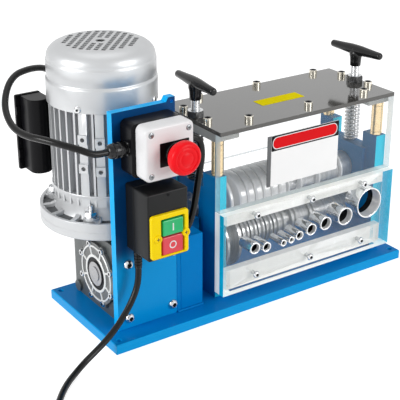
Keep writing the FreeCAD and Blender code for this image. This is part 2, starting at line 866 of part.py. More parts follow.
def gearbox():
    """Worm gearbox: housing, side covers with their screws, and shaft seals."""
    core = body("gear_core", MOTOR_X, SHAFT_Y, "base_thickness")
    drawing = sketch(core, "XY_Plane")
    rectangle(drawing, ("-gear_half_width", "gear_half_width"), ("-gear_foot_reach", "gear_back_reach"))
    raised = pad(core, drawing, "2 * gear_half_height")
    DOC.recompute()
    fillet = core.newObject("PartDesign::Fillet", "gear_core_fillet")
    rear = [
        name
        for name in upright_edges(raised.Shape, 2)
        if raised.Shape.Edges[int(name[4:]) - 1].BoundBox.YMin > 0
    ]
    fillet.Base = (raised, rear)
    fillet.setExpression("Radius", bound("gear_corner"))
    neck = rod("gear_neck", "z", "gear_neck_radius", GEAR_TOP, FLANGE_BOTTOM, (MOTOR_X, MOTOR_Y))
    flange = rod("gear_flange", "z", "flange_radius", FLANGE_BOTTOM, MOTOR_BOTTOM, (MOTOR_X, MOTOR_Y))
    boss = rod(
        "gear_boss", "x", "boss_radius",
        f"{MOTOR_X} - gear_half_width - boss_height", f"{MOTOR_X} - gear_half_width + 1",
        (f"{SHAFT_Y} + gear_back_reach - gear_corner - boss_radius", "base_thickness + boss_radius + 2"),
    )
    solid = join("gear_solid", [core, neck, flange, boss])
    tools = [
        rod("gear_wheel_bore", "x", "wheel_cavity_radius", f"{MOTOR_X} - gear_half_width - 1",
            f"{MOTOR_X} + gear_half_width + 1", (SHAFT_Y, SHAFT_Z)),
        rod("gear_worm_bore", "z", "worm_cavity_radius", "base_thickness + gear_floor",
            f"{MOTOR_BOTTOM} + 1", (MOTOR_X, MOTOR_Y)),
    ]
    for index, (x, z) in enumerate(foot_bolt_places()):
        tools.append(rod(f"gear_foot_hole_{index}", "y", "foot_bolt_radius + running_clearance",
                         f"{PANEL_BACK} - 1", f"{PANEL_BACK} + foot_bolt_depth", (x, z)))
    for index, (x, y) in enumerate(around(4, "flange_bolt_circle / 2", 45)):
        tools.append(rod(f"gear_flange_hole_{index}", "z", "flange_bolt_radius + running_clearance",
                         f"{FLANGE_BOTTOM} - 1", f"{MOTOR_BOTTOM} + 1",
                         (f"{MOTOR_X} + {x}", f"{MOTOR_Y} + {y}")))
    covers = []
    screws = []
    seals = []
    for name, side in (("left", -1), ("right", 1)):
        inner = f"{MOTOR_X} + {side} * gear_half_width"
        outer = f"{MOTOR_X} + {side} * {COVER_REACH}"
        low, high = (outer, inner) if side < 0 else (inner, outer)
        discs = [rod(f"cover_{name}_disc", "x", "side_cover_radius", low, high, (SHAFT_Y, SHAFT_Z))]
        holes = [rod(f"cover_{name}_bore", "x", "seal_radius", f"{low} - 1", f"{high} + 1",
                     (SHAFT_Y, SHAFT_Z))]
        for index, (y, z) in enumerate(around(8, "lobe_circle / 2", 22.5)):
            centre = (f"{SHAFT_Y} + {y}", f"{SHAFT_Z} + {z}")
            discs.append(rod(f"cover_{name}_lobe_{index}", "x", "lobe_radius", low, high, centre))
            holes.append(rod(f"cover_{name}_hole_{index}", "x", "lobe_bolt_radius + running_clearance",
                             f"{low} - 1", f"{high} + 1", centre))
            tools.append(rod(f"gear_{name}_lobe_hole_{index}", "x",
                             "lobe_bolt_radius + running_clearance",
                             f"{inner} - lobe_bolt_depth", f"{inner} + lobe_bolt_depth", centre))
            screws.append(bolt(f"cover_{name}_screw_{index}", "x", side, "lobe_head_radius",
                               "lobe_head_height", "lobe_bolt_radius",
                               "side_cover_thickness + lobe_bolt_depth - 1",
                               outer, centre[0], centre[1]))
        covers.append(cut(f"cover_{name}", join(f"cover_{name}_solid", discs), holes))
        seals.append(ring(f"seal_{name}", "x", "wheel_hub_radius + 2 * running_clearance", "seal_radius",
                          "0", "side_cover_thickness + seal_proud",
                          f"{low} - {0.6 if side < 0 else 0}", SHAFT_Y, SHAFT_Z))
    node(cut("gearbox_housing", solid, tools))
    node(bundle("gearbox_side_covers", covers))
    node(bundle("output_seals", seals))
    return screws


def shaft_bearings():
    """The bearings that stand still: gearbox, motor and lower roller shaft."""
    output_place = "gear_half_width - 0.5 - output_bearing_width / 2"
    pieces = [
        bearing("output_bearing_left", "x", "wheel_hub_radius", "wheel_cavity_radius",
                "output_bearing_width", f"{MOTOR_X} - ({output_place})", SHAFT_Y, SHAFT_Z),
        bearing("output_bearing_right", "x", "wheel_hub_radius", "wheel_cavity_radius",
                "output_bearing_width", f"{MOTOR_X} + {output_place}", SHAFT_Y, SHAFT_Z),
        bearing("worm_bearing_low", "z", "worm_journal_radius", "worm_cavity_radius",
                "worm_bearing_width", MOTOR_X, MOTOR_Y,
                "base_thickness + gear_floor + worm_bearing_width / 2"),
        bearing("worm_bearing_high", "z", "worm_journal_radius", "worm_cavity_radius",
                "worm_bearing_width", MOTOR_X, MOTOR_Y,
                f"{GEAR_TOP} - worm_bearing_width / 2"),
        bearing("motor_bearing_low", "z", "motor_shaft_radius", "motor_bearing_radius",
                "motor_bearing_width", MOTOR_X, MOTOR_Y,
                f"{BODY_BOTTOM} - motor_bearing_width / 2"),
        bearing("motor_bearing_high", "z", "motor_shaft_radius", "motor_bearing_radius",
                "motor_bearing_width", MOTOR_X, MOTOR_Y,
                f"{COWL_BOTTOM} - motor_bearing_width / 2 - 1"),
        bearing("roller_bearing_left", "x", "roller_shaft_radius", "bearing_radius",
                "bearing_width", LEFT_PLATE_X, SHAFT_Y, SHAFT_Z),
        bearing("roller_bearing_right", "x", "roller_shaft_radius", "bearing_radius",
                "bearing_width", RIGHT_PLATE_X, SHAFT_Y, SHAFT_Z),
    ]
    node(bundle("shaft_bearings", pieces))


def motor_shell():
    """The motor's still parts, from its mounting flange up to the fan cowl."""
    shield = body("motor_flange", MOTOR_X, MOTOR_Y, MOTOR_BOTTOM)
    drawing = sketch(shield, "XY_Plane")
    circle(drawing, "0", "0", "flange_radius")
    pad(shield, drawing, "flange_thickness")
    drawing = sketch(shield, "XY_Plane")
    circle(drawing, "0", "0", "shield_neck_radius")
    pad(shield, drawing, "flange_thickness + shield_neck_height")
    drawing = sketch(shield, "XY_Plane")
    circle(drawing, "0", "0", "flange_radius")
    circle(drawing, "0", "0", "flange_radius - shield_rim_width")
    pad(shield, drawing, "flange_thickness + shield_rim_height")
    drawing = sketch(shield, "XY_Plane")
    rectangle(drawing, ("shield_neck_radius - 2", "shield_rib_reach"),
              ("-shield_rib_width / 2", "shield_rib_width / 2"))
    rib = pad(shield, drawing, "flange_thickness + shield_rib_height")
    polar(shield, rib, 12)
    drawing = sketch(shield, "XY_Plane")
    circle(drawing, "0", "0", "worm_cavity_radius")
    pocket(shield, drawing, "flange_thickness + shield_neck_height", reverse=True)
    drawing = sketch(shield, "XY_Plane")
    for x, y in around(4, "flange_bolt_circle / 2", 45):
        circle(drawing, x, y, "flange_bolt_radius + running_clearance")
    pocket(shield, drawing, "flange_thickness", reverse=True)
    node(shield)
    bolts = []
    for index, (x, y) in enumerate(around(4, "flange_bolt_circle / 2", 45)):
        bolts.append(bolt(f"flange_bolt_{index}", "z", 1, "flange_bolt_radius * 1.75",
                          "flange_bolt_radius * 1.4", "flange_bolt_radius", "2 * flange_thickness + 7",
                          f"{MOTOR_X} + {x}", f"{MOTOR_Y} + {y}", SHIELD_TOP))
    node(bundle("flange_bolts", bolts))
    shell = body("motor_tube", MOTOR_X, MOTOR_Y, BODY_BOTTOM)
    drawing = sketch(shell, "XY_Plane")
    circle(drawing, "0", "0", "motor_tube_radius")
    circle(drawing, "0", "0", "motor_bore_radius")
    pad(shell, drawing, "motor_body_length")
    drawing = sketch(shell, "XY_Plane")
    rectangle(drawing, ("motor_tube_radius - 1", "fin_radius"), ("-fin_width / 2", "fin_width / 2"))
    fin = pad(shell, drawing, "motor_body_length")
    polar(shell, fin, 36)
    lands = []
    holes = []
    for name in ("left", "right"):
        angle = f"pad_{name}_angle"
        lands.append(spoke(f"land_{name}", "land_width", "fin_radius", BODY_BOTTOM,
                           f"{COWL_BOTTOM} - slide_clearance", angle))
        for row, rise in (("low", f"pad_low_{name}"), ("high", f"pad_low_{name} + pad_span")):
            lands.append(spoke(f"foot_pad_{name}_{row}", "pad_width", "fin_radius + pad_proud",
                               f"{rise} - pad_height / 2", f"{rise} + pad_height / 2", angle))
            holes.append(spoke_hole(f"foot_pad_hole_{name}_{row}", "pad_hole_radius",
                                    "fin_radius + pad_proud - pad_hole_depth", "pad_hole_depth + 1",
                                    rise, angle))
    shell = cut("motor_tube_solid", join("motor_tube_joined", [shell] + lands), holes)
    end = ring("end_shield", "z", "motor_bearing_radius", "motor_bore_radius",
               "-end_shield_thickness", "0", MOTOR_X, MOTOR_Y, COWL_BOTTOM)
    node(bundle("motor_body", [shell, end]))
    node(ring("stator", "z", "rotor_radius + air_gap", "motor_bore_radius", "-stator_length / 2",
              "stator_length / 2", MOTOR_X, MOTOR_Y, ROTOR_MIDDLE))
    return fan_cowl()


def spoke(label, width, reach, low, high, angle):
    """A block on the motor's tube that points away from its axis at an angle."""
    item = body(label, MOTOR_X, MOTOR_Y, "0")
    drawing = sketch(item, "XY_Plane", low)
    rectangle(drawing, ("motor_tube_radius - 1", reach), (f"-{width} / 2", f"{width} / 2"))
    pad(item, drawing, f"({high}) - ({low})")
    item.setExpression("Placement.Rotation.Angle", bound(angle))
    return item


def spoke_hole(label, radius, start, depth, height, angle):
    """A hole's cylinder that points away from the motor's axis at an angle."""
    item = body(label, MOTOR_X, MOTOR_Y, "0")
    drawing = sketch(item, "YZ_Plane", start)
    circle(drawing, "0", height, radius)
    pad(item, drawing, depth)
    item.setExpression("Placement.Rotation.Angle", bound(angle))
    return item


def fan_cowl():
    """The pressed cowl over the fan, with air slots in its flat top and screws round its skirt."""
    band = "cowl_skirt_height"
    shoulder = f"{band} + cowl_band_height"
    bend = f"{shoulder} + cowl_shoulder_height"
    top = f"{bend} + cowl_dome_height"
    cowl = turned("fan_cowl", "z", [
        ("0", "cowl_radius"),
        (band, "cowl_radius"),
        (f"{band} + 1", "cowl_band_radius"),
        (shoulder, "cowl_band_radius"),
        (bend, "cowl_shoulder_radius"),
        (top, "cowl_top_radius"),
        (top, "0"),
        (f"{top} - cowl_wall", "0"),
        (f"{top} - cowl_wall", "cowl_top_radius - 0.5"),
        (f"{bend} - 0.5", "cowl_shoulder_radius - cowl_wall - 0.3"),
        (shoulder, "cowl_band_radius - cowl_wall"),
        (f"{band} + 1", "cowl_band_radius - cowl_wall"),
        (band, "cowl_radius - cowl_wall"),
        ("0", "cowl_radius - cowl_wall"),
    ], MOTOR_X, MOTOR_Y, COWL_BOTTOM)
    slots = sketch(cowl, "XY_Plane", f"{top} - 2 * cowl_wall")
    for index in range(-5, 5):
        middle = f"({index} + 0.5) * slot_pitch"
        half = f"sqrt(slot_circle ^ 2 - ({middle}) ^ 2)"
        rectangle(slots, (f"{middle} - slot_width / 2", f"{middle} + slot_width / 2"),
                  (f"-{half}", half))
    pocket(cowl, slots, "3 * cowl_wall", reverse=True)
    cowl.setExpression("Placement.Rotation.Angle", bound("slot_turn"))
    node(cowl)
    screws = []
    rise = f"{COWL_BOTTOM} + cowl_overlap / 2"
    first_angle = 35.6
    for index, (x, y) in enumerate(around(4, "cowl_radius", first_angle)):
        angle = math.radians(first_angle + 90 * index)
        screw = DOC.addObject("Part::Cylinder", f"cowl_screw_{index}")
        out = FreeCAD.Rotation(FreeCAD.Vector(0, 0, 1), FreeCAD.Vector(math.cos(angle), math.sin(angle), 0))
        screw.Placement = FreeCAD.Placement(ORIGIN, out)
        screw.setExpression("Radius", bound("cowl_screw_radius"))
        screw.setExpression("Height", bound("cowl_screw_height"))
        place(screw, f"{MOTOR_X} + {x}", f"{MOTOR_Y} + {y}", rise)
        screws.append(screw)
    return screws


def capacitor():
    """Run capacitor box: a moulded body with a round front, and a flat cover at its back."""
    left = f"({MOTOR_X} - capacitor_left)"
    right = f"({left} + capacitor_width)"
    back = f"({MOTOR_Y} + capacitor_back)"
    bottom = "(base_thickness + capacitor_bottom)"
    item = body("capacitor_box", left, back, bottom)
    drawing = sketch(item, "XY_Plane")
    rectangle(drawing, ("0", "capacitor_width"), ("-capacitor_depth", "0"))
    raised = pad(item, drawing, "capacitor_height")
    DOC.recompute()
    fillet = item.newObject("PartDesign::Fillet", "capacitor_front")
    front = [
        name
        for name in upright_edges(raised.Shape, 2)
        if raised.Shape.Edges[int(name[4:]) - 1].BoundBox.YMax < -number("capacitor_depth") / 2
    ]
    fillet.Base = (raised, front)
    fillet.setExpression("Radius", bound("capacitor_front_corner"))
    hollow = sketch(item, "XY_Plane", "capacitor_wall")
    rectangle(hollow, ("capacitor_wall", "capacitor_width - capacitor_wall"),
              ("-capacitor_depth + capacitor_front_corner / 2 + capacitor_wall", "0"))
    pocket(item, hollow, "capacitor_height - 2 * capacitor_wall", reverse=True)
    node(item)
    node(block("capacitor_cover", (f"{left} - capacitor_cover_lip", right),
               (back, f"{back} + capacitor_cover_thickness"),
               (f"{bottom} - 1", f"{bottom} + capacitor_height + 1")))


def terminal_box():
    """The motor's terminal box, on its far side, with a gland on top."""
    back = f"({MOTOR_Y} + fin_radius)"
    item = body("terminal_box", MOTOR_X, back, "base_thickness + terminal_bottom")
    drawing = sketch(item, "XY_Plane")
    rectangle(drawing, ("-terminal_half_width", "terminal_half_width"), ("0", "terminal_depth"))
    raised = pad(item, drawing, "terminal_height")
    round_edges(item, raised, 2, "4")
    node(item)


def control_panel():
    """The upright plate in front of the gearbox, with its screws and the two control boxes."""
    item = body("control_panel", MOTOR_X, PANEL_BACK, "base_thickness")
    drawing = sketch(item, "XZ_Plane")
    outline(drawing, [
        ("-panel_left_reach", "0"),
        ("panel_right_reach", "0"),
        ("panel_right_reach", "panel_height + panel_ear_height"),
        ("panel_right_reach - panel_ear_width", "panel_height + panel_ear_height"),
        ("panel_right_reach - panel_ear_width - 3", "panel_height"),
        ("-panel_left_reach", "panel_height"),
    ])
    pad(item, drawing, "panel_thickness")
    holes = sketch(item, "XZ_Plane")
    for side in (-1, 1):
        for end in (-1, 1):
            circle(holes, f"{side} * foot_bolt_span_x / 2",
                   f"gear_half_height + {end} * foot_bolt_span_z / 2",
                   "foot_bolt_radius + running_clearance")
    circle(holes, "panel_right_reach - panel_ear_width / 2", "panel_height", "2")
    pocket(item, holes, "panel_thickness + 1", reverse=True)
    node(item)
    screws = [
        bolt(f"panel_screw_{index}", "y", -1, "foot_head_radius", "foot_head_height",
             "foot_bolt_radius", "panel_thickness + foot_bolt_depth - 1", x, PANEL_FRONT, z)
        for index, (x, z) in enumerate(foot_bolt_places())
    ]
    return screws


def open_box(label, x, y, z, wall, corner):
    """A box along Y with rounded corners, open at its low-Y or high-Y end as the wall says."""
    (left, right), (start, end), (low, high) = x, y, z
    front_wall, back_wall = wall
    item = body(label, left, end, low)
    drawing = sketch(item, "XZ_Plane")
    rectangle(drawing, ("0", f"({right}) - ({left})"), ("0", f"({high}) - ({low})"))
    raised = pad(item, drawing, f"({end}) - ({start})")
    round_edges(item, raised, 1, corner)
    inside = sketch(item, "XZ_Plane", back_wall)
    side = "stop_box_wall"
    rectangle(inside, (side, f"({right}) - ({left}) - {side}"), (side, f"({high}) - ({low}) - {side}"))
    depth = f"({end}) - ({start}) - ({back_wall}) - ({front_wall})"
    feature = pocket(item, inside, depth, reverse=True)
    return item, feature


def emergency_stop():
    """Emergency stop: black base, white cover with its screws, collar, and the red mushroom."""
    left = f"{STOP_X} - stop_box_size / 2"
    right = f"{STOP_X} + stop_box_size / 2"
    low = f"{STOP_Z} - stop_box_size / 2"
    high = f"{STOP_Z} + stop_box_size / 2"
    base, _ = open_box("stop_base", (left, right), (STOP_SPLIT, PANEL_FRONT), (low, high),
                       ("0", "stop_box_wall"), "stop_box_corner")
    node(base)
    shell, _ = open_box("stop_cover_shell", (left, right), (STOP_FRONT, STOP_SPLIT), (low, high),
                        ("stop_box_wall", "0"), "stop_box_corner")
    stem_hole = rod("stop_cover_hole", "y", "mushroom_stem_radius + slide_clearance",
                    f"{STOP_FRONT} - 1", f"{STOP_FRONT} + 2 * stop_box_wall", (MUSHROOM_X, MUSHROOM_Z))
    node(cut("stop_cover", shell, [stem_hole]))
    collar = ring("stop_collar", "y", "mushroom_stem_radius + slide_clearance", "collar_radius",
                  "-collar_height", "0", MUSHROOM_X, STOP_FRONT, MUSHROOM_Z)
    half = "contact_block_size / 2"
    contacts = block("stop_contact_block", (f"{MUSHROOM_X} - {half}", f"{MUSHROOM_X} + {half}"),
                     (f"{PANEL_FRONT} - stop_box_wall - contact_block_depth",
                      f"{PANEL_FRONT} - stop_box_wall"),
                     (f"{MUSHROOM_Z} - {half}", f"{MUSHROOM_Z} + {half}"))
    node(bundle("stop_contacts", [collar, contacts]))
    seat = f"({PANEL_FRONT} - stop_box_wall - contact_block_depth)"
    stem_end = f"({seat} - slide_clearance - mushroom_travel - {STOP_FRONT})"
    front = "mushroom_stand + mushroom_length"
    joint = "-mushroom_stand - mushroom_socket"
    node(turned("stop_stem", "y", [
        (stem_end, "0"),
        (stem_end, "mushroom_stem_radius"),
        (joint, "mushroom_stem_radius"),
        (joint, "0"),
    ], MUSHROOM_X, STOP_FRONT, MUSHROOM_Z))
    node(turned("stop_button", "y", [
        (f"{joint} - slide_clearance", "0"),
        (f"{joint} - slide_clearance", "mushroom_stem_radius + running_clearance"),
        ("-mushroom_stand", "mushroom_stem_radius + running_clearance"),
        ("-mushroom_stand", "mushroom_rim_radius - 2"),
        ("-mushroom_stand - 2", "mushroom_rim_radius"),
        ("-mushroom_stand - 6", "mushroom_radius"),
        (f"-({front}) + 3", "mushroom_radius"),
        (f"-({front}) + 0.8", "mushroom_radius - 1.5"),
        (f"-({front})", "mushroom_radius - 5"),
        (f"-({front}) + 0.8", "0"),
    ], MUSHROOM_X, STOP_FRONT, MUSHROOM_Z))


def switch_box():
    """Start and stop switch: black box, yellow frame, the insert behind it and two buttons."""
    right = f"{SWITCH_LEFT} + switch_width"
    top = f"{SWITCH_BOTTOM} + switch_height"
    shell, _ = open_box("switch_shell", (SWITCH_LEFT, right), (SWITCH_FRONT, PANEL_FRONT),
                        (SWITCH_BOTTOM, top), ("switch_wall", "switch_wall"), "2")
    opening = block("switch_opening", (WINDOW_LEFT, WINDOW_RIGHT),
                    (f"{SWITCH_FRONT} - 1", f"{SWITCH_FRONT} + switch_wall + 1"),
                    (WINDOW_BOTTOM, WINDOW_TOP))
    housing = cut("switch_housing", shell, [opening])
    lugs = []
    for name, x in (("left", f"{WINDOW_LEFT} - 4.5"), ("right", f"{WINDOW_RIGHT} + 1.5")):
        lugs.append(rod(f"frame_lug_{name}", "y", "frame_lug_radius", f"{SWITCH_FRONT} - frame_proud - 2",
                        SWITCH_FRONT, (x, f"{WINDOW_BOTTOM} + frame_lug_rise")))
    plate = block("frame_plate", (f"{WINDOW_LEFT} - frame_band_left", f"{WINDOW_RIGHT} + frame_band_right"),
                  (f"{SWITCH_FRONT} - frame_proud", SWITCH_FRONT),
                  (f"{WINDOW_BOTTOM} - frame_band_bottom", f"{WINDOW_TOP} + frame_band_top"))
    hole = block("frame_hole", (WINDOW_LEFT, WINDOW_RIGHT),
                 (f"{SWITCH_FRONT} - frame_proud - 3", f"{SWITCH_FRONT} + 1"),
                 (WINDOW_BOTTOM, WINDOW_TOP))
    node(cut("switch_frame", join("frame_solid", [plate] + lugs), [hole]))
    split = f"{WINDOW_TOP} - button_margin - start_button_height"
    button_left = f"{WINDOW_LEFT} + button_margin"
    button_right = f"{WINDOW_RIGHT} - button_margin"
    rows = (
        ("start_button", split, f"{WINDOW_TOP} - button_margin", "button_proud"),
        ("stop_switch_button", f"{WINDOW_BOTTOM} + slide_clearance", f"{split} - button_margin",
         "button_proud - 0.8"),
    )
    sockets = []
    gap = "slide_clearance"
    rear = f"{SWITCH_FRONT} + button_depth"
    for label, low, high, proud in rows:
        node(block(label, (button_left, button_right), (f"{SWITCH_FRONT} - ({proud})", rear), (low, high)))
        sockets.append(block(f"{label}_socket", (f"{button_left} - {gap}", f"{button_right} + {gap}"),
                             (f"{SWITCH_FRONT} - 3", f"{rear} + button_travel + {gap}"),
                             (f"{low} - {gap}", f"{high} + {gap}")))
    insert = block("insert_solid", (f"{WINDOW_LEFT} + 0.1", f"{WINDOW_RIGHT} - 0.1"),
                   (f"{SWITCH_FRONT} - 1", f"{PANEL_FRONT} - switch_wall"),
                   (f"{WINDOW_BOTTOM} + 0.1", f"{WINDOW_TOP} - 0.1"))
    node(bundle("switch_box", [housing, cut("switch_insert", insert, sockets)]))


def glands_and_leads():
    """Cable glands, the two leads between the housings, and the strain relief of the cord."""
    gland_x = f"({STOP_X} - stop_box_size / 2)"
    lead_y = f"({PANEL_FRONT} - stop_base_depth / 2)"
    lead_z = f"({STOP_Z} + 1.5)"
    side = turned("gland_side", "x", [
        ("0", "0"),
        ("0", "gland_radius + 1"),
        ("-6", "gland_radius + 1"),
        ("-6", "gland_radius - 1"),
        ("-12", "gland_radius - 1"),
        ("-12", "gland_radius"),
        ("-gland_length + 5", "gland_radius"),
        ("-gland_length", "lead_radius + 1.5"),
        ("-gland_length", "0"),
    ], gland_x, lead_y, lead_z)
    jumper_x = f"({STOP_X} + stop_box_size / 2)"
    jumper_z = f"({STOP_Z} - 3)"
    jumper_gland = ring("gland_jumper", "x", "0", "jumper_radius + 3", "0", "jumper_gland_length",
                        jumper_x, lead_y, jumper_z)
    terminal_x = f"({MOTOR_X} - 12)"
    terminal_y = f"({MOTOR_Y} + fin_radius + terminal_depth / 2)"
    terminal_z = "(base_thickness + terminal_bottom + terminal_height)"
    terminal = turned("gland_terminal", "z", [
        ("0", "0"),
        ("0", "gland_radius"),
        ("terminal_gland_length - 6", "gland_radius"),
        ("terminal_gland_length", "lead_radius + 1.5"),
        ("terminal_gland_length", "0"),
    ], terminal_x, terminal_y, terminal_z)
    node(bundle("cable_glands", [side, jumper_gland, terminal]))
    DOC.recompute()
    first = point(f"{gland_x} - gland_length", lead_y, lead_z)
    last = point(terminal_x, terminal_y, f"{terminal_z} + terminal_gland_length")
    middle = [FreeCAD.Vector(*place_) for place_ in CONTROL_LEAD_ROUTE]
    middle[0] = FreeCAD.Vector(middle[0].x, first.y, first.z)
    middle.append(FreeCAD.Vector(last.x, last.y, last.z + 16))
    edges = bent("control_lead", [first] + middle + [last])
    node(shaped("control_lead", tube("control_lead", edges, number("lead_radius"))))
    first = point(f"{jumper_x} + jumper_gland_length", lead_y, jumper_z)
    middle = [FreeCAD.Vector(*place_) for place_ in JUMPER_ROUTE]
    middle[0] = FreeCAD.Vector(middle[0].x, first.y, first.z)
    last = FreeCAD.Vector(number(f"{SWITCH_LEFT} + switch_width"), middle[-1].y, middle[-1].z)
    edges = bent("jumper_lead", [first] + middle + [last])
    node(shaped("jumper_lead", tube("jumper_lead", edges, number("jumper_radius"))))
    exit_x = f"({SWITCH_LEFT} + relief_radius)"
    exit_y = f"({PANEL_FRONT} - switch_depth / 3)"
    node(turned("strain_relief", "z", [
        ("0", "0"),
        ("0", "relief_radius"),
        ("-relief_length", "cord_radius + 0.6"),
        ("-relief_length", "0"),
    ], exit_x, exit_y, SWITCH_BOTTOM))
    return point(exit_x, exit_y, f"{SWITCH_BOTTOM} - relief_length")


def coil_stops():
    """Points and directions of the stored cord: a spiral in, a climb, and a spiral out."""
    wire = number("cord_radius")
    pitch = number("coil_pitch")
    turns = int(number("coil_turns"))
    radius = number("coil_radius")
    low = wire + number("tie_thickness") + 0.2
    angle = math.radians(COIL_ANGLE)
    centre = FreeCAD.Vector(COIL_START[0] - radius * math.cos(angle),
                            COIL_START[1] - radius * math.sin(angle), 0)
    quarter = math.pi / 2
    stops = []
    for step in range(8 * turns + 1):
        from_middle = step - 4 * turns
        spiral = radius - pitch * (turns - abs(from_middle) / 4)
        climb = min(max((from_middle + 1) / 2, 0), 1)
        smooth = climb * climb * (3 - 2 * climb)
        turn = angle + step * quarter
        out = FreeCAD.Vector(math.cos(turn), math.sin(turn), 0)
        way = FreeCAD.Vector(-math.sin(turn), math.cos(turn), 0)
        drift = 0 if from_middle == 0 else math.copysign(pitch / (2 * math.pi), from_middle)
        slope = 1.5 * pitch / math.pi if from_middle == 0 else 0
        direction = way * spiral + out * drift + FreeCAD.Vector(0, 0, slope)
        where = centre + out * spiral + FreeCAD.Vector(0, 0, low + pitch * smooth)
        stops.append((where, direction.normalize()))
    return centre, stops


def mains_cord(leaving):
    """The free mains cord: its hanging and lying stretch, its coil, the tie and the plug."""
    wire = number("cord_radius")
    centre, stops = coil_stops()
    start, way = stops[0]
    entry = start - way * (2 * wire)
    route = [leaving, leaving - FreeCAD.Vector(0, 0, 14)]
    route += [FreeCAD.Vector(*place_) for place_ in CORD_ROUTE]
    route += [entry - way * number("cord_lead_in"), entry]
    cord_edges = bent("mains_cord", route)
    node(shaped("mains_cord", tube("mains_cord", cord_edges, wire)))
    finish, last_way = stops[-1]
    tail = finish + last_way * number("plug_tail")
    coil_edges = [Part.LineSegment(entry, start).toShape()] + through(stops)
    coil_edges.append(Part.LineSegment(finish, tail).toShape())
    node(shaped("mains_coil", tube("mains_coil", coil_edges, wire)))
    self_gap("mains_coil", coil_edges, wire, 40)
    tie_angle = math.radians(COIL_ANGLE - 120)
    inner = number("coil_radius - coil_pitch * coil_turns") - wire - 0.6
    outer = number("coil_radius") + wire + 0.6
    high = stops[-1][0].z + wire + 0.4
    thick = number("tie_thickness")
    width = number("tie_width")
    hole = Part.makeBox(outer - inner, width + 2, high - thick,
                        FreeCAD.Vector(inner, -width / 2 - 1, thick))
    band = Part.makeBox(outer - inner + 2 * thick, width, high + thick,
                        FreeCAD.Vector(inner - thick, -width / 2, 0))
    tie = shaped("coil_tie", band.cut(hole))
    tie.Placement = FreeCAD.Placement(centre, FreeCAD.Rotation(math.degrees(tie_angle), 0, 0))
    node(tie)
    plug(tail, last_way)


def plug(start, way):
    """A two-pin plug that carries on from the end of the coil."""
    length = number("plug_length")
    radius = number("plug_radius")
    wire = number("cord_radius")
    sleeve = 18.0
    level = FreeCAD.Vector(way.x, way.y, 0).normalize()
    profile = [
        (0.0, 0.0), (0.0, wire + 1.0), (sleeve, wire + 3.0), (sleeve + 4, radius * 0.8),
        (sleeve + length * 0.5, radius * 0.86), (sleeve + length, radius * 0.86), (sleeve + length, 0.0),
    ]
    wire_path = Part.makePolygon([FreeCAD.Vector(along, out, 0) for along, out in profile + profile[:1]])
    solid = Part.Face(wire_path).revolve(ORIGIN, FreeCAD.Vector(1, 0, 0), 360)
    floor_cut = Part.makeBox(200, 200, 200, FreeCAD.Vector(-50, -100, -200 - start.z + 0.0))
    solid = solid.cut(floor_cut)
    pins = []
    for side in (-1, 1):
        pins.append(Part.makeCylinder(
            number("plug_pin_radius"), number("plug_pin_length"),
            FreeCAD.Vector(sleeve + length, side * number("plug_pin_span") / 2, 0),
            FreeCAD.Vector(1, 0, 0)))
    turn = FreeCAD.Rotation(FreeCAD.Vector(1, 0, 0), level)
    item = shaped("mains_plug", Part.makeCompound([solid] + pins))
    item.Placement = FreeCAD.Placement(start, turn)
    node(item)


def coupling_guard():
    """The blue cover over the shaft coupling, between the gearbox and the roller frame."""
    left = f"({MOTOR_X} + {COVER_REACH} + lobe_head_height + 0.4)"
    right = f"({COVER_LEFT} - slide_clearance)"
    back = "coupling_guard_back"
    top = "(base_thickness + coupling_guard_height)"
    wall = "coupling_guard_wall"
    shell = block("guard_shell", (left, right), (PANEL_FRONT, back), ("base_thickness", top))
    inside = block("guard_inside", (f"{left} - 1", f"{right} + 1"),
                   (f"{PANEL_FRONT} + {wall}", f"{back} - {wall}"),
                   ("base_thickness - 1", f"{top} - {wall}"))
    hollow = cut("guard_hollow", shell, [inside])
    front = block("guard_front", (f"{MOTOR_X} + panel_right_reach + slide_clearance", right),
                  (PANEL_FRONT, f"{PANEL_FRONT} + {wall}"), ("base_thickness", top))
    foot = block("guard_foot", (f"{MOTOR_X} + panel_right_reach + slide_clearance", right),
                 (f"{PANEL_FRONT} - {wall}", PANEL_FRONT),
                 ("base_thickness", "base_thickness + coupling_foot_height"))
    node(join("coupling_guard", [hollow, front, foot]))


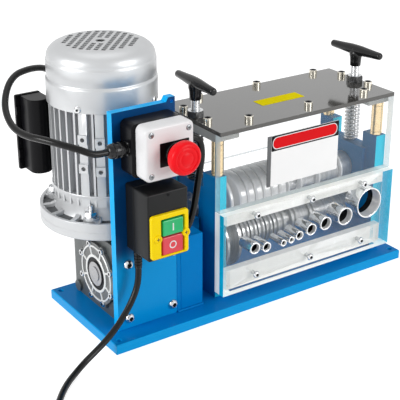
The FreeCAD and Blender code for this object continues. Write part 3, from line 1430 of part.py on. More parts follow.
def roller_frame():
    """Slotted end plates, pillars, cross bars and the top plate."""
    for name, middle in (("left", LEFT_PLATE_X), ("right", RIGHT_PLATE_X)):
        low = f"{middle} - plate_thickness / 2"
        high = f"{middle} + plate_thickness / 2"
        plate = block(f"end_{name}_solid", (low, high), (PLATE_FRONT, PLATE_BACK),
                      ("base_thickness", PLATE_TOP))
        slot = block(f"end_{name}_slot", (f"{low} - 1", f"{high} + 1"),
                     (f"{SHAFT_Y} - slot_across / 2", f"{SHAFT_Y} + slot_across / 2"),
                     ("base_thickness + slot_floor", f"{PLATE_TOP} + 1"))
        bore = rod(f"end_{name}_bore", "x", "bearing_radius", f"{low} - 1", f"{high} + 1",
                   (SHAFT_Y, SHAFT_Z))
        node(cut(f"{name}_end_plate", plate, [slot, bore]))
    pillars = []
    bars = []
    hole = "screw_radius + slide_clearance"
    screw_holes = []
    for name, middle, edge in (("left", LEFT_PLATE_X, COVER_LEFT), ("right", RIGHT_PLATE_X, COVER_RIGHT)):
        for row, y in (("front", f"{PLATE_FRONT} + pillar_inset"), ("back", f"{PLATE_BACK} - pillar_inset")):
            pillars.append(rod(f"pillar_{name}_{row}", "z", "pillar_radius", PLATE_TOP, BAR_BOTTOM,
                               (middle, y)))
        span = (edge, f"{edge} + cross_bar_width")
        if name == "right":
            span = (f"{edge} - cross_bar_width", edge)
        solid = block(f"cross_{name}_solid", span, (PLATE_FRONT, PLATE_BACK), (BAR_BOTTOM, BAR_TOP))
        bars.append(cut(f"cross_{name}", solid, [
            rod(f"cross_{name}_hole", "z", hole, f"{BAR_BOTTOM} - 1", f"{BAR_TOP} + 1",
                (middle, SHAFT_Y))]))
        screw_holes.append(rod(f"top_{name}_hole", "z", hole, f"{BAR_TOP} - 1", f"{TOP_Z} + 1",
                               (middle, SHAFT_Y)))
    node(bundle("frame_pillars", pillars))
    rear = f"{PLATE_BACK} + rear_guard_thickness + top_plate_overhang"
    plate = block("top_solid", (COVER_LEFT, COVER_RIGHT), (GUARD_FRONT, rear), (BAR_TOP, TOP_Z))
    screws = []
    places = top_screw_places()
    for index, (x, y) in enumerate(places):
        screw_holes.append(rod(f"top_screw_hole_{index}", "z", "top_screw_shank + running_clearance",
                               f"{BAR_TOP} - 1", f"{TOP_Z} + 1", (x, y)))
        screws.append(bolt(f"top_screw_{index}", "z", 1, "top_screw_radius", "top_screw_height",
                           "top_screw_shank", "top_plate_thickness", x, y, TOP_Z))
    node(bundle("cross_bars", bars))
    node(cut("top_plate", plate, screw_holes))
    node(bundle("top_screws", screws))


def top_screw_places():
    """Screws through the top plate: two rows along it, and a pair beside each lifting screw."""
    front = f"{PLATE_FRONT} + pillar_inset"
    back = f"{PLATE_BACK} - rear_screw_inset"
    places = [(f"roller_middle + front_screw_{index}_offset", front) for index in (1, 2, 3)]
    places += [(f"roller_middle + rear_screw_{index}_offset", back) for index in (1, 2, 3)]
    for middle in (LEFT_PLATE_X, RIGHT_PLATE_X):
        places += [(middle, f"{SHAFT_Y} + {side} * pair_screw_offset") for side in (-1, 1)]
    return places


def guards(panel_screws):
    """Clear guards, their aluminium bars, screws, and the metal sleeves for the cables."""
    rear = (PLATE_BACK, f"{PLATE_BACK} + rear_guard_thickness")
    node(bundle("upper_guards", [
        block("front_guard", (COVER_LEFT, COVER_RIGHT), (GUARD_FRONT, PLATE_FRONT),
              (f"{GUARD_SPLIT} + guard_joint_gap", BAR_TOP)),
        block("rear_guard", (COVER_LEFT, COVER_RIGHT), rear,
              ("base_thickness + rear_guard_height", BAR_TOP)),
    ]))
    bottom = "(base_thickness + lower_guard_clearance)"
    plate = block("lower_plate_solid", (COVER_LEFT, COVER_RIGHT), (LOWER_FRONT, GUARD_FRONT),
                  (bottom, GUARD_SPLIT))
    sleeves = []
    plate_tools = []
    bar_tools = []
    for index in range(1, SLEEVE_COUNT + 1):
        bore = f"sleeve_{index}_bore / 2"
        outer = f"{bore} + sleeve_wall"
        x = f"(roller_middle + sleeve_{index}_offset)"
        z = f"(base_thickness + sleeve_{index}_rise)"
        sleeves.append(ring(f"cable_sleeve_{index}", "y", bore, outer, "-sleeve_proud",
                            "sleeve_length - sleeve_proud", x, LOWER_FRONT, z))
        plate_tools.append(rod(f"hole_for_sleeve_{index}", "y", f"{outer} + running_clearance",
                               f"{LOWER_FRONT} - 1", f"{GUARD_FRONT} + 1", (x, z)))
    bar_tools.append(rod("bar_relief", "y", f"{outer} + slide_clearance",
                         f"{GUARD_FRONT} - 1", f"{PLATE_FRONT} + 1", (x, z)))
    screws = []
    bars = []
    rows = (("upper", "upper_bar_rise", "upper_bar_height", "upper_bar_rise + 8"),
            ("lower", "lower_bar_rise", "lower_bar_height", "lower_bar_rise + 6"))
    for name, rise, height, screw_rise in rows:
        for column in (-1, 0, 1):
            x = f"roller_middle + {column} * guard_screw_span"
            z = f"base_thickness + {screw_rise}"
            label = f"guard_screw_{name}_{column + 1}"
            plate_tools.append(rod(f"{label}_hole", "y", "guard_screw_shank + running_clearance",
                                   f"{LOWER_FRONT} - 1", f"{GUARD_FRONT} + 1", (x, z)))
            bar_tools.append(rod(f"{label}_thread", "y", "guard_screw_shank + running_clearance",
                                 f"{GUARD_FRONT} - 1", f"{PLATE_FRONT} + 1", (x, z)))
            screws.append(bolt(label, "y", -1, "guard_screw_radius", "guard_screw_height",
                               "guard_screw_shank", "guard_screw_length", x, LOWER_FRONT, z))
    for name, rise, height, _ in rows:
        low = f"base_thickness + {rise}"
        bars.append(block(f"bar_{name}_solid", (f"{COVER_LEFT} + stile_width", f"{COVER_RIGHT} - stile_width"),
                          (GUARD_FRONT, PLATE_FRONT), (low, f"{low} + {height}")))
    lower_plate = cut("lower_guard_plate", plate, plate_tools)
    stiles = [
        block("stile_left", (COVER_LEFT, f"{COVER_LEFT} + stile_width"), (GUARD_FRONT, PLATE_FRONT),
              (bottom, GUARD_SPLIT)),
        block("stile_right", (f"{COVER_RIGHT} - stile_width", COVER_RIGHT), (GUARD_FRONT, PLATE_FRONT),
              (bottom, GUARD_SPLIT)),
    ]
    node(bundle("lower_guard", [lower_plate] + stiles))
    node(cut("guard_bars", bundle("guard_bars_solid", bars), bar_tools))
    node(bundle("button_screws", panel_screws + screws))
    node(bundle("cable_sleeves", sleeves))


def carriage():
    """The two bearing blocks that slide in the end plates and carry the upper roller."""
    blocks = []
    bearings = []
    for name, middle, way in (("left", LEFT_PLATE_X, 1), ("right", RIGHT_PLATE_X, -1)):
        outer = f"({middle} - {way} * plate_thickness / 2)"
        face = f"({middle} + {way} * (plate_thickness / 2 + slide_clearance))"
        inner = f"({face} + {way} * block_lip)"
        body_span = (outer, inner) if way > 0 else (inner, outer)
        lip_span = (face, inner) if way > 0 else (inner, face)
        half = "(slot_across / 2 - slide_clearance)"
        main = block(f"block_{name}_main", body_span, (f"{SHAFT_Y} - {half}", f"{SHAFT_Y} + {half}"),
                     (BLOCK_BOTTOM, BLOCK_TOP))
        lip = block(f"block_{name}_lip", lip_span,
                    (f"{SHAFT_Y} - block_lip_across / 2", f"{SHAFT_Y} + block_lip_across / 2"),
                    (BLOCK_BOTTOM, BLOCK_TOP))
        bore = rod(f"block_{name}_bore", "x", "bearing_radius", f"{body_span[0]} - 1",
                   f"{body_span[1]} + 1", (SHAFT_Y, UPPER_Z))
        seat = rod(f"block_{name}_seat", "z", "screw_radius + running_clearance",
                   f"{BLOCK_TOP} - screw_seat - running_clearance", f"{BLOCK_TOP} + 1", (middle, SHAFT_Y))
        blocks.append(cut(f"block_{name}", join(f"block_{name}_solid", [main, lip]), [bore, seat]))
        bearings.append(bearing(f"upper_bearing_{name}", "x", "roller_shaft_radius", "bearing_radius",
                                "bearing_width", middle, SHAFT_Y, UPPER_Z))
    node(bundle("bearing_blocks", blocks))
    node(bundle("upper_bearings", bearings))


def spring(x):
    """One compression spring between a bearing block and its cross bar."""
    wire = number("spring_wire_radius")
    coil = number("spring_coil_radius")
    tail = number("spring_tail")
    low = number(BLOCK_TOP)
    high = number(BAR_BOTTOM)
    turns = int(number("spring_turns"))
    axis = FreeCAD.Vector(x, number(SHAFT_Y), 0)
    climb = (high - low - 2 * tail) / (2 * turns)
    up = FreeCAD.Vector(0, 0, 1)
    stops = []
    for step in range(2 * turns + 1):
        turn = math.pi * step
        out = FreeCAD.Vector(math.cos(turn), math.sin(turn), 0)
        way = FreeCAD.Vector(-math.sin(turn), math.cos(turn), 0) * (math.pi * coil) + up * climb
        stops.append((axis + out * coil + up * (low + tail + climb * step), way.normalize()))
    bend = tail - 2 * wire
    first, first_way = stops[0]
    last, last_way = stops[-1]
    foot = first - FreeCAD.Vector(first_way.x, first_way.y, 0).normalize() * bend - up * bend
    head = last + FreeCAD.Vector(last_way.x, last_way.y, 0).normalize() * bend + up * bend
    stops = [(foot, up)] + stops + [(head, up)]
    edges = [Part.LineSegment(foot - up * (2 * wire), foot).toShape()]
    edges += through(stops)
    edges.append(Part.LineSegment(head, head + up * (2 * wire)).toShape())
    self_gap("spring", edges, wire, 20)
    return tube("spring", edges, wire)


def springs():
    """The pair of pressure springs over the bearing blocks."""
    shapes = [spring(number(LEFT_PLATE_X)), spring(number(RIGHT_PLATE_X))]
    node(shaped("pressure_springs", Part.makeCompound(shapes)))


def handles():
    """Lifting screws with their T handles, and the nuts that they turn in."""
    nuts = []
    for name, middle in (("left", LEFT_PLATE_X), ("right", RIGHT_PLATE_X)):
        bottom = f"{BLOCK_TOP} - screw_seat"
        node(rod(f"{name}_lift_screw", "z", "screw_radius", bottom, f"{HANDLE_Z} + screw_grip",
                 (middle, SHAFT_Y)))
        boss = rod(f"handle_{name}_boss", "z", "handle_boss_radius", HANDLE_Z,
                   f"{HANDLE_Z} + handle_boss_height", (middle, SHAFT_Y))
        bar_z = f"{HANDLE_Z} + handle_boss_height + 1"
        bar = turned(f"handle_{name}_bar", "y", [
            ("-handle_length / 2", "0"),
            ("-handle_length / 2", "handle_tip_radius - handle_tip_round"),
            ("-handle_length / 2 + handle_tip_round", "handle_tip_radius"),
            ("-handle_boss_radius", "handle_bar_radius"),
            ("handle_boss_radius", "handle_bar_radius"),
            ("handle_length / 2 - handle_tip_round", "handle_tip_radius"),
            ("handle_length / 2", "handle_tip_radius - handle_tip_round"),
            ("handle_length / 2", "0"),
        ], middle, SHAFT_Y, bar_z)
        socket = rod(f"handle_{name}_socket", "z", "screw_radius", f"{HANDLE_Z} - 1",
                     f"{HANDLE_Z} + screw_grip", (middle, SHAFT_Y))
        node(cut(f"{name}_handle", join(f"handle_{name}_solid", [boss, bar]), [socket]))
        nut = body(f"nut_{name}", middle, SHAFT_Y, TOP_Z)
        drawing = sketch(nut, "XY_Plane")
        outline(drawing, around(6, "nut_across_flats / 1.7320508"))
        circle(drawing, "0", "0", "screw_radius + running_clearance")
        pad(nut, drawing, "nut_height")
        nuts.append(nut)
    node(bundle("handle_nuts", nuts))


def channel_place(index):
    """Where a thick-cable channel runs, as an X formula."""
    return f"(roller_middle + channel_{index}_offset)"


def cutting_disc(label, x, radius, width, rim):
    """A cutting disc with a rim that is thinner than its middle."""
    half = f"({width}) / 2"
    bore = "roller_shaft_radius + running_clearance"
    return turned(label, "x", [
        (f"-{half}", bore),
        (half, bore),
        (half, f"{radius} - {rim}"),
        (f"{half} * 0.55", radius),
        (f"-{half} * 0.55", radius),
        (f"-{half}", f"{radius} - {rim}"),
    ], x, SHAFT_Y, UPPER_Z)


def upper_roller():
    """The idle upper shaft with its cutting discs and the spacers between them."""
    ends = "(plate_spacing / 2 + plate_thickness / 2 + shaft_end)"
    shaft = rod("upper_shaft_rod", "x", "roller_shaft_radius", f"roller_middle - {ends}",
                f"roller_middle + {ends}", (SHAFT_Y, UPPER_Z))
    count = int(number("disc_count"))
    places = [f"(roller_middle - first_disc + {index} * disc_pitch)" for index in range(count)]
    entry = "(roller_middle - entry_disc)"
    discs = [cutting_disc("disc_entry", entry, "disc_radius", "entry_disc_width", "disc_rim")]
    discs += [
        cutting_disc(f"disc_{index}", x, "disc_radius", "disc_width", "disc_rim")
        for index, x in enumerate(places)
    ]
    discs += [
        cutting_disc(f"knife_{index}", channel_place(index), f"channel_{index}_knife_radius",
                     "knife_thickness", "knife_edge")
        for index in range(1, CHANNEL_COUNT + 1)
    ]
    node(bundle("cutting_discs", discs))
    gap = "0.02"
    block_left = f"({LEFT_PLATE_X} + plate_thickness / 2 + slide_clearance + block_lip + 0.5)"
    block_right = f"({RIGHT_PLATE_X} - plate_thickness / 2 - slide_clearance - block_lip - 0.5)"
    stops = [(block_left, f"{entry} - entry_disc_width / 2", "left_spacer_radius")]
    stops.append((f"{entry} + entry_disc_width / 2", f"{places[0]} - disc_width / 2", "left_spacer_radius"))
    for here, following in zip(places, places[1:]):
        stops.append((f"{here} + disc_width / 2", f"{following} - disc_width / 2", "disc_spacer_radius"))
    last = f"{places[-1]} + disc_width / 2"
    for x in map(channel_place, range(1, CHANNEL_COUNT + 1)):
        stops.append((last, f"{x} - knife_thickness / 2", "right_spacer_radius"))
        last = f"{x} + knife_thickness / 2"
    stops.append((last, block_right, "right_spacer_radius"))
    spacers = [
        ring(f"upper_spacer_{index}", "x", "roller_shaft_radius + running_clearance", radius,
             f"{start} + {gap}", f"{end} - {gap}", "0", SHAFT_Y, UPPER_Z)
        for index, (start, end, radius) in enumerate(stops)
    ]
    node(bundle("upper_shaft", [shaft] + spacers))


def feed_roller(label, x, radius, width):
    """A driven roller with a groove round its middle for the cable."""
    half = f"({width}) / 2"
    groove = "feed_groove_width / 2"
    bore = "roller_shaft_radius + running_clearance"
    return turned(label, "x", [
        (f"-{half}", bore),
        (half, bore),
        (half, radius),
        (groove, radius),
        ("0.6", f"{radius} - feed_groove_depth"),
        ("-0.6", f"{radius} - feed_groove_depth"),
        (f"-{groove}", radius),
        (f"-{half}", radius),
    ], x, SHAFT_Y, SHAFT_Z)


def lower_roller():
    """The driven lower shaft: worm wheel, output shaft, coupling, feed rollers and spacers."""
    ends = f"({RIGHT_PLATE_X} + plate_thickness / 2 + shaft_end)"
    shaft = rod("roller_shaft_rod", "x", "roller_shaft_radius", f"{SHAFT_JOINT} + 0.1", ends,
                (SHAFT_Y, SHAFT_Z))
    hub = f"({COVER_REACH} + wheel_hub_proud)"
    half = "wheel_width / 2"
    wheel = turned("bronze_wheel", "x", [
        (f"-{hub}", "output_shaft_radius + running_clearance"),
        (hub, "output_shaft_radius + running_clearance"),
        (hub, "wheel_hub_radius"),
        (half, "wheel_hub_radius"),
        (half, "wheel_radius"),
        (f"-{half}", "wheel_radius"),
        (f"-{half}", "wheel_hub_radius"),
        (f"-{hub}", "wheel_hub_radius"),
    ], MOTOR_X, SHAFT_Y, SHAFT_Z)
    output = rod("output_rod", "x", "output_shaft_radius", f"{MOTOR_X} - {hub} - 1",
                 f"{SHAFT_JOINT} - 0.1", (SHAFT_Y, SHAFT_Z))
    node(bundle("worm_wheel", [wheel, output]))
    sleeve = rod("coupling_solid", "x", "coupling_radius", COUPLING_LEFT,
                 f"{COUPLING_LEFT} + coupling_length", (SHAFT_Y, SHAFT_Z))
    bores = [
        rod("coupling_bore_left", "x", "output_shaft_radius + running_clearance",
            f"{COUPLING_LEFT} - 1", SHAFT_JOINT, (SHAFT_Y, SHAFT_Z)),
        rod("coupling_bore_right", "x", "roller_shaft_radius + running_clearance",
            SHAFT_JOINT, f"{COUPLING_LEFT} + coupling_length + 1", (SHAFT_Y, SHAFT_Z)),
    ]
    node(cut("shaft_coupling", sleeve, bores))
    count = int(number("disc_count"))
    places = [f"(roller_middle - first_disc + {index} * disc_pitch)" for index in range(count)]
    rollers = [
        feed_roller(f"feed_{index}", x, "feed_radius", "feed_width") for index, x in enumerate(places)
    ]
    rollers += [
        feed_roller(f"wide_feed_{index}", channel_place(index), f"channel_{index}_roller_radius",
                    "wide_feed_width")
        for index in range(1, CHANNEL_COUNT + 1)
    ]
    entry = "(roller_middle - entry_disc)"
    groove = "(flange_disc_gap / 2)"
    rim = f"({groove} + flange_disc_thickness)"
    rollers.append(turned("feed_entry", "x", [
        (f"-{rim}", "roller_shaft_radius + running_clearance"),
        (rim, "roller_shaft_radius + running_clearance"),
        (rim, "flange_disc_radius"),
        (groove, "flange_disc_radius"),
        (groove, "feed_radius"),
        (f"-{groove}", "feed_radius"),
        (f"-{groove}", "flange_disc_radius"),
        (f"-{rim}", "flange_disc_radius"),
    ], entry, SHAFT_Y, SHAFT_Z))
    node(bundle("feed_rollers", rollers))
    frame_left = f"({LEFT_PLATE_X} + plate_thickness / 2 + 0.5)"
    frame_right = f"({RIGHT_PLATE_X} - plate_thickness / 2 - 0.5)"
    stops = [(frame_left, f"{entry} - {rim}")]
    last = f"{entry} + {rim}"
    for x in places:
        stops.append((last, f"{x} - feed_width / 2"))
        last = f"{x} + feed_width / 2"
    for x in map(channel_place, range(1, CHANNEL_COUNT + 1)):
        stops.append((last, f"{x} - wide_feed_width / 2"))
        last = f"{x} + wide_feed_width / 2"
    stops.append((last, frame_right))
    spacers = [
        ring(f"feed_spacer_{index}", "x", "roller_shaft_radius + running_clearance", "feed_spacer_radius",
             f"{start} + 0.02", f"{end} - 0.02", "0", SHAFT_Y, SHAFT_Z)
        for index, (start, end) in enumerate(stops)
        if number(end) - number(start) > 0.5
    ]
    node(bundle("roller_shaft", [shaft] + spacers))


def motor_rotor():
    """What turns in the motor: worm, shaft with rotor, and the cooling fan."""
    worm_bottom = "(base_thickness + gear_floor + 0.5)"
    socket = f"({GEAR_TOP} - worm_socket_depth)"
    worm_top = f"({GEAR_TOP} + 6)"
    half = "worm_length / 2"
    worm = turned("worm", "z", [
        (worm_bottom, "0"),
        (worm_bottom, "worm_journal_radius"),
        (f"{SHAFT_Z} - {half}", "worm_journal_radius"),
        (f"{SHAFT_Z} - {half} + 3", "worm_radius"),
        (f"{SHAFT_Z} + {half} - 3", "worm_radius"),
        (f"{SHAFT_Z} + {half}", "worm_journal_radius"),
        (worm_top, "worm_journal_radius"),
        (worm_top, "motor_shaft_radius + running_clearance"),
        (socket, "motor_shaft_radius + running_clearance"),
        (socket, "0"),
    ], MOTOR_X, MOTOR_Y, "0")
    core = "rotor_length / 2"
    fan_z = f"({BODY_TOP} + 2)"
    shaft = turned("rotor_shaft", "z", [
        (f"{socket} + 0.2", "0"),
        (f"{socket} + 0.2", "motor_shaft_radius"),
        (f"{ROTOR_MIDDLE} - {core}", "motor_shaft_radius"),
        (f"{ROTOR_MIDDLE} - {core}", "rotor_radius"),
        (f"{ROTOR_MIDDLE} + {core}", "rotor_radius"),
        (f"{ROTOR_MIDDLE} + {core}", "motor_shaft_radius"),
        (f"{fan_z} + fan_blade_height", "motor_shaft_radius"),
        (f"{fan_z} + fan_blade_height", "0"),
    ], MOTOR_X, MOTOR_Y, "0")
    node(bundle("motor_rotor", [worm, shaft]))
    fan = body("fan", MOTOR_X, MOTOR_Y, fan_z)
    drawing = sketch(fan, "XY_Plane")
    circle(drawing, "0", "0", "fan_radius")
    pad(fan, drawing, "fan_plate")
    drawing = sketch(fan, "XY_Plane")
    circle(drawing, "0", "0", "fan_hub_radius")
    pad(fan, drawing, "fan_blade_height")
    drawing = sketch(fan, "XY_Plane")
    rectangle(drawing, ("fan_hub_radius - 2", "fan_radius"), ("-fan_blade_width / 2", "fan_blade_width / 2"))
    blade = pad(fan, drawing, "fan_blade_height")
    polar(fan, blade, 8)
    drawing = sketch(fan, "XY_Plane")
    circle(drawing, "0", "0", "motor_shaft_radius + running_clearance")
    pocket(fan, drawing, "fan_blade_height + 1", reverse=True)
    node(fan)


def write_files():
    """Check every object and each sub-part, and write one file per sub-part."""
    DOC.recompute()
    failed = [item.Label for item in DOC.Objects if {"Invalid", "Error"} & set(item.State)]
    bad = [item.Label for item in NODES if item.Shape.isNull() or not item.Shape.isValid()]
    if failed or bad:
        raise RuntimeError(f"failed objects {failed}, bad shapes {bad}")
    os.makedirs("parts", exist_ok=True)
    for item in NODES:
        item.Shape.exportStep(f"parts/{item.Label}.step")
    print(len(NODES), "sub-parts,", sum(len(item.Shape.Solids) for item in NODES), "solids")


def main():
    """Build the machine from the base plate up, and write its sub-parts."""
    fill_sheet()
    base_plate()
    screws = gearbox()
    shaft_bearings()
    node(bundle("cover_screws", screws + motor_shell()))
    capacitor()
    terminal_box()
    panel_screws = control_panel()
    emergency_stop()
    switch_box()
    mains_cord(glands_and_leads())
    coupling_guard()
    roller_frame()
    guards(panel_screws)
    carriage()
    springs()
    handles()
    upper_roller()
    lower_roller()
    motor_rotor()
    write_files()


main()
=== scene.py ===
import logging
import math
from dataclasses import dataclass
from enum import Enum
from functools import cache
from typing import Callable, Iterable, Sequence

import bmesh
import bpy
from mathutils import Euler, Matrix, Vector


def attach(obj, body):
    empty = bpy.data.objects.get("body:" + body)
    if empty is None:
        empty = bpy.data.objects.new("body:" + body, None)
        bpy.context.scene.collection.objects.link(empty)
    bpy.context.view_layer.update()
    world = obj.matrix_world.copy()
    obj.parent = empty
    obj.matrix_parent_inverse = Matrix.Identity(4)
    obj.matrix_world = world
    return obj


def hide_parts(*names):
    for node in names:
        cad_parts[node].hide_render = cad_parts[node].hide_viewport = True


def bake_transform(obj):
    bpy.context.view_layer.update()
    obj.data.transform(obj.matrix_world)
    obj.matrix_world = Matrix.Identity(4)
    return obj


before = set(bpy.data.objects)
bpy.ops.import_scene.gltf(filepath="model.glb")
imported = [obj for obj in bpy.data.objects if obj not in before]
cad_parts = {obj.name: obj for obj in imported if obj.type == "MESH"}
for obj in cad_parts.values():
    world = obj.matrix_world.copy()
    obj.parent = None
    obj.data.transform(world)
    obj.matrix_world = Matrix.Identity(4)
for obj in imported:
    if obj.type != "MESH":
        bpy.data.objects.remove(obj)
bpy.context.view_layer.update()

LOG = logging.getLogger("wire_stripper")
MM = 0.001
Colour = tuple[float, float, float]
Place = tuple[float, float, float]
Pair = tuple[float, float]
Socket = bpy.types.NodeSocket
Sockets = bpy.types.bpy_prop_collection
PURE_WHITE = (1.0, 1.0, 1.0, 1.0)
AHEAD = Vector((0.0, -1.0, 0.0))
SQUARE_ON = 0.95


class Axis(Enum):
    """The three directions of the machine's frame."""

    X = 0
    Y = 1
    Z = 2

    def unit(self) -> Vector:
        """A vector of length one along the axis."""
        way = Vector((0.0, 0.0, 0.0))
        way[self.value] = 1.0
        return way


class Grain(Enum):
    """How a bare metal was worked."""

    TURNED = "turned"
    BRUSHED = "brushed"
    PLATED = "plated"


class Wiring:
    """Places the nodes of one shader tree and joins their sockets."""

    def __init__(self, tree: bpy.types.NodeTree) -> None:
        """Works on the tree of a material, of a group or of the world."""
        self.tree = tree

    def add(self, kind: str, feeds: dict[str | int, object] | None = None,
            **settings: object) -> bpy.types.Node:
        """Adds a node, sets it up and feeds its inputs.

        Args:
            kind: the node's type.
            feeds: values or sockets for the inputs, by name or number.
            settings: the node's own settings.

        Returns:
            The new node.
        """
        node = self.tree.nodes.new(kind)
        for name, value in settings.items():
            setattr(node, name, value)
        for name, value in (feeds or {}).items():
            self.feed(node.inputs[name], value)
        return node

    def feed(self, socket: Socket, value: object) -> None:
        """Links a socket into another one, or sets its value."""
        if isinstance(value, Socket):
            self.tree.links.new(value, socket)
        else:
            socket.default_value = value

    def fill(self, node: bpy.types.Node, **feeds: object) -> bpy.types.Node:
        """Feeds a node's inputs, named with underscores for spaces."""
        for name, value in feeds.items():
            self.feed(node.inputs[name.replace("_", " ")], value)
        return node

    def place(self) -> Socket:
        """Where a point lies on its object, in metres."""
        return self.add("ShaderNodeTexCoord").outputs["Object"]

    def noise(self, dimensions: str = "3D", **feeds: object) -> Socket:
        """The mask of a noise texture."""
        return self.fill(self.add("ShaderNodeTexNoise", noise_dimensions=dimensions), **feeds).outputs[0]

    def math(self, operation: str, *values: object) -> Socket:
        """The result of a Math node with these values or sockets."""
        return self.add("ShaderNodeMath", dict(enumerate(values)), operation=operation).outputs[0]

    def vector(self, operation: str, *values: object) -> bpy.types.Node:
        """A Vector Math node with these values or sockets."""
        return self.add("ShaderNodeVectorMath", dict(enumerate(values)), operation=operation)

    def spread(self, value: object, low: float, high: float) -> Socket:
        """Stretches a mask from 0..1 to low..high."""
        return self.add("ShaderNodeMapRange", {"Value": value, "To Min": low, "To Max": high}).outputs[0]

    def around(self, value: object, middle: float, less: float, more: float) -> Socket:
        """Stretches a mask round a middle value, between these shares of it."""
        return self.spread(value, middle * less, middle * more)

    def blend(self, mask: object, first: object, second: object) -> Socket:
        """Blends two colours or colour sockets by a mask."""
        node = self.add("ShaderNodeMix", {0: mask}, data_type="RGBA")
        for number, value in ((6, first), (7, second)):
            self.feed(node.inputs[number], value if isinstance(value, Socket) else (*value, 1.0))
        return node.outputs[2]

    def effect(self, group: bpy.types.NodeTree, **feeds: object) -> Sockets:
        """Places a shared effect, fed as in fill, and returns its outputs."""
        return self.fill(self.add("ShaderNodeGroup", node_tree=group), **feeds).outputs

    def bump(self, height: Socket, strength: float, distance: float) -> Socket:
        """A normal bent by a height, whose full mask stands this many metres high."""
        bump = self.fill(self.add("ShaderNodeBump"), Height=height, Strength=strength, Distance=distance)
        return bump.outputs[0]


class Effects:
    """The shader node groups that several finishes share, each built once."""

    def start(self, name: str, takes: dict[str, float | Place],
              gives: Sequence[str]) -> tuple[Wiring, Sockets, Sockets]:
        """Makes an empty group with its sockets.

        Args:
            name: the group's name.
            takes: its inputs, numbers or vectors, with their defaults.
            gives: its outputs, which are all masks.

        Returns:
            The group's wiring, the sockets that bring its inputs, and those that take its outputs.
        """
        tree = bpy.data.node_groups.new(name, "ShaderNodeTree")
        for label, value in takes.items():
            kind = "NodeSocketFloat" if isinstance(value, float) else "NodeSocketVector"
            tree.interface.new_socket(name=label, in_out="INPUT", socket_type=kind).default_value = value
        for label in gives:
            tree.interface.new_socket(name=label, in_out="OUTPUT", socket_type="NodeSocketFloat")
        wiring = Wiring(tree)
        return wiring, wiring.add("NodeGroupInput").outputs, wiring.add("NodeGroupOutput").inputs

    @cache
    def mottle(self) -> bpy.types.NodeTree:
        """Cloudy unevenness of paint or plastic: a coarse mask and a fine one."""
        wiring, takes, gives = self.start("Mottle", {"Scale": 60.0, "Fine Scale": 900.0}, ["Cloud", "Fine"])
        place = wiring.place()
        for label, scale, detail in (("Cloud", "Scale", 3.0), ("Fine", "Fine Scale", 2.0)):
            noise = wiring.noise(Vector=place, Scale=takes[scale], Detail=detail, Roughness=0.55)
            wiring.feed(gives[label], noise)
        return wiring.tree

    @cache
    def rings(self) -> bpy.types.NodeTree:
        """Fine lines round an axis, as a lathe leaves them."""
        wiring, takes, gives = self.start("Rings", {"Scale": 900.0, "Axis": (1, 0, 0), "Centre": (0, 0, 0)},
                                          ["Lines", "Bands"])
        from_middle = wiring.vector("SUBTRACT", wiring.place(), takes["Centre"]).outputs[0]
        along = wiring.vector("DOT_PRODUCT", from_middle, takes["Axis"]).outputs["Value"]
        shadow = wiring.add("ShaderNodeVectorMath", {0: takes["Axis"], "Scale": along}, operation="SCALE")
        across = wiring.vector("SUBTRACT", from_middle, shadow.outputs[0]).outputs[0]
        reach = wiring.vector("LENGTH", across).outputs["Value"]
        travel = wiring.math("ADD", wiring.math("MULTIPLY", along, 1.37), reach)
        for label, scale in (("Lines", 1.0), ("Bands", 0.08)):
            pace = wiring.math("MULTIPLY", takes["Scale"], scale)
            wiring.feed(gives[label], wiring.noise("1D", W=travel, Scale=pace, Detail=2.0))
        return wiring.tree

    @cache
    def brushing(self) -> bpy.types.NodeTree:
        """Long fine scratches along a direction."""
        wiring, takes, gives = self.start("Brushing", {"Scale": 1.0, "Stretch": (20, 900, 900)}, ["Lines"])
        stretched = wiring.vector("MULTIPLY", wiring.place(), takes["Stretch"]).outputs[0]
        lines = wiring.noise(Vector=stretched, Scale=takes["Scale"], Detail=3.0, Roughness=0.6)
        wiring.feed(gives["Lines"], lines)
        return wiring.tree

    @cache
    def wear(self) -> bpy.types.NodeTree:
        """Sparse small scuffs."""
        wiring, takes, gives = self.start("Wear", {"Scale": 180.0, "Amount": 0.3}, ["Scuffs"])
        spots = wiring.noise(Vector=wiring.place(), Scale=takes["Scale"], Detail=6.0, Roughness=0.7)
        threshold = wiring.math("SUBTRACT", 0.82, wiring.math("MULTIPLY", takes["Amount"], 0.3))
        sharp = wiring.math("MULTIPLY", wiring.math("SUBTRACT", spots, threshold), 12.0)
        wiring.feed(gives["Scuffs"], wiring.add("ShaderNodeClamp", {"Value": sharp}).outputs[0])
        return wiring.tree

    @cache
    def levels(self) -> bpy.types.NodeTree:
        """A mask that rises from zero at one height to one at another."""
        wiring, takes, gives = self.start("Levels", {"Low": 0.0, "High": 1.0}, ["Height"])
        height = wiring.add("ShaderNodeSeparateXYZ", {0: wiring.place()}).outputs["Z"]
        feeds = {"Value": height, "From Min": takes["Low"], "From Max": takes["High"]}
        span = wiring.add("ShaderNodeMapRange", feeds, interpolation_type="SMOOTHSTEP")
        wiring.feed(gives["Height"], span.outputs[0])
        return wiring.tree


EFFECTS = Effects()


@dataclass(frozen=True)
class Finish:
    """A surface finish: its name, the record's slot that it belongs to, and its two tones."""

    name: str
    slot: str
    colour: Colour
    shade: Colour

    def material(self) -> bpy.types.Material:
        """The finish's material, made on first use."""
        made = bpy.data.materials.get(self.name)
        if made is None:
            made = bpy.data.materials.new(self.name)
            made.use_nodes = True
            self.dress(Wiring(made.node_tree), made.node_tree.nodes["Principled BSDF"])
        return made

    def dress(self, wiring: Wiring, shader: bpy.types.Node) -> None:
        """Sets up the shader; each kind of finish has its own way."""
        raise NotImplementedError


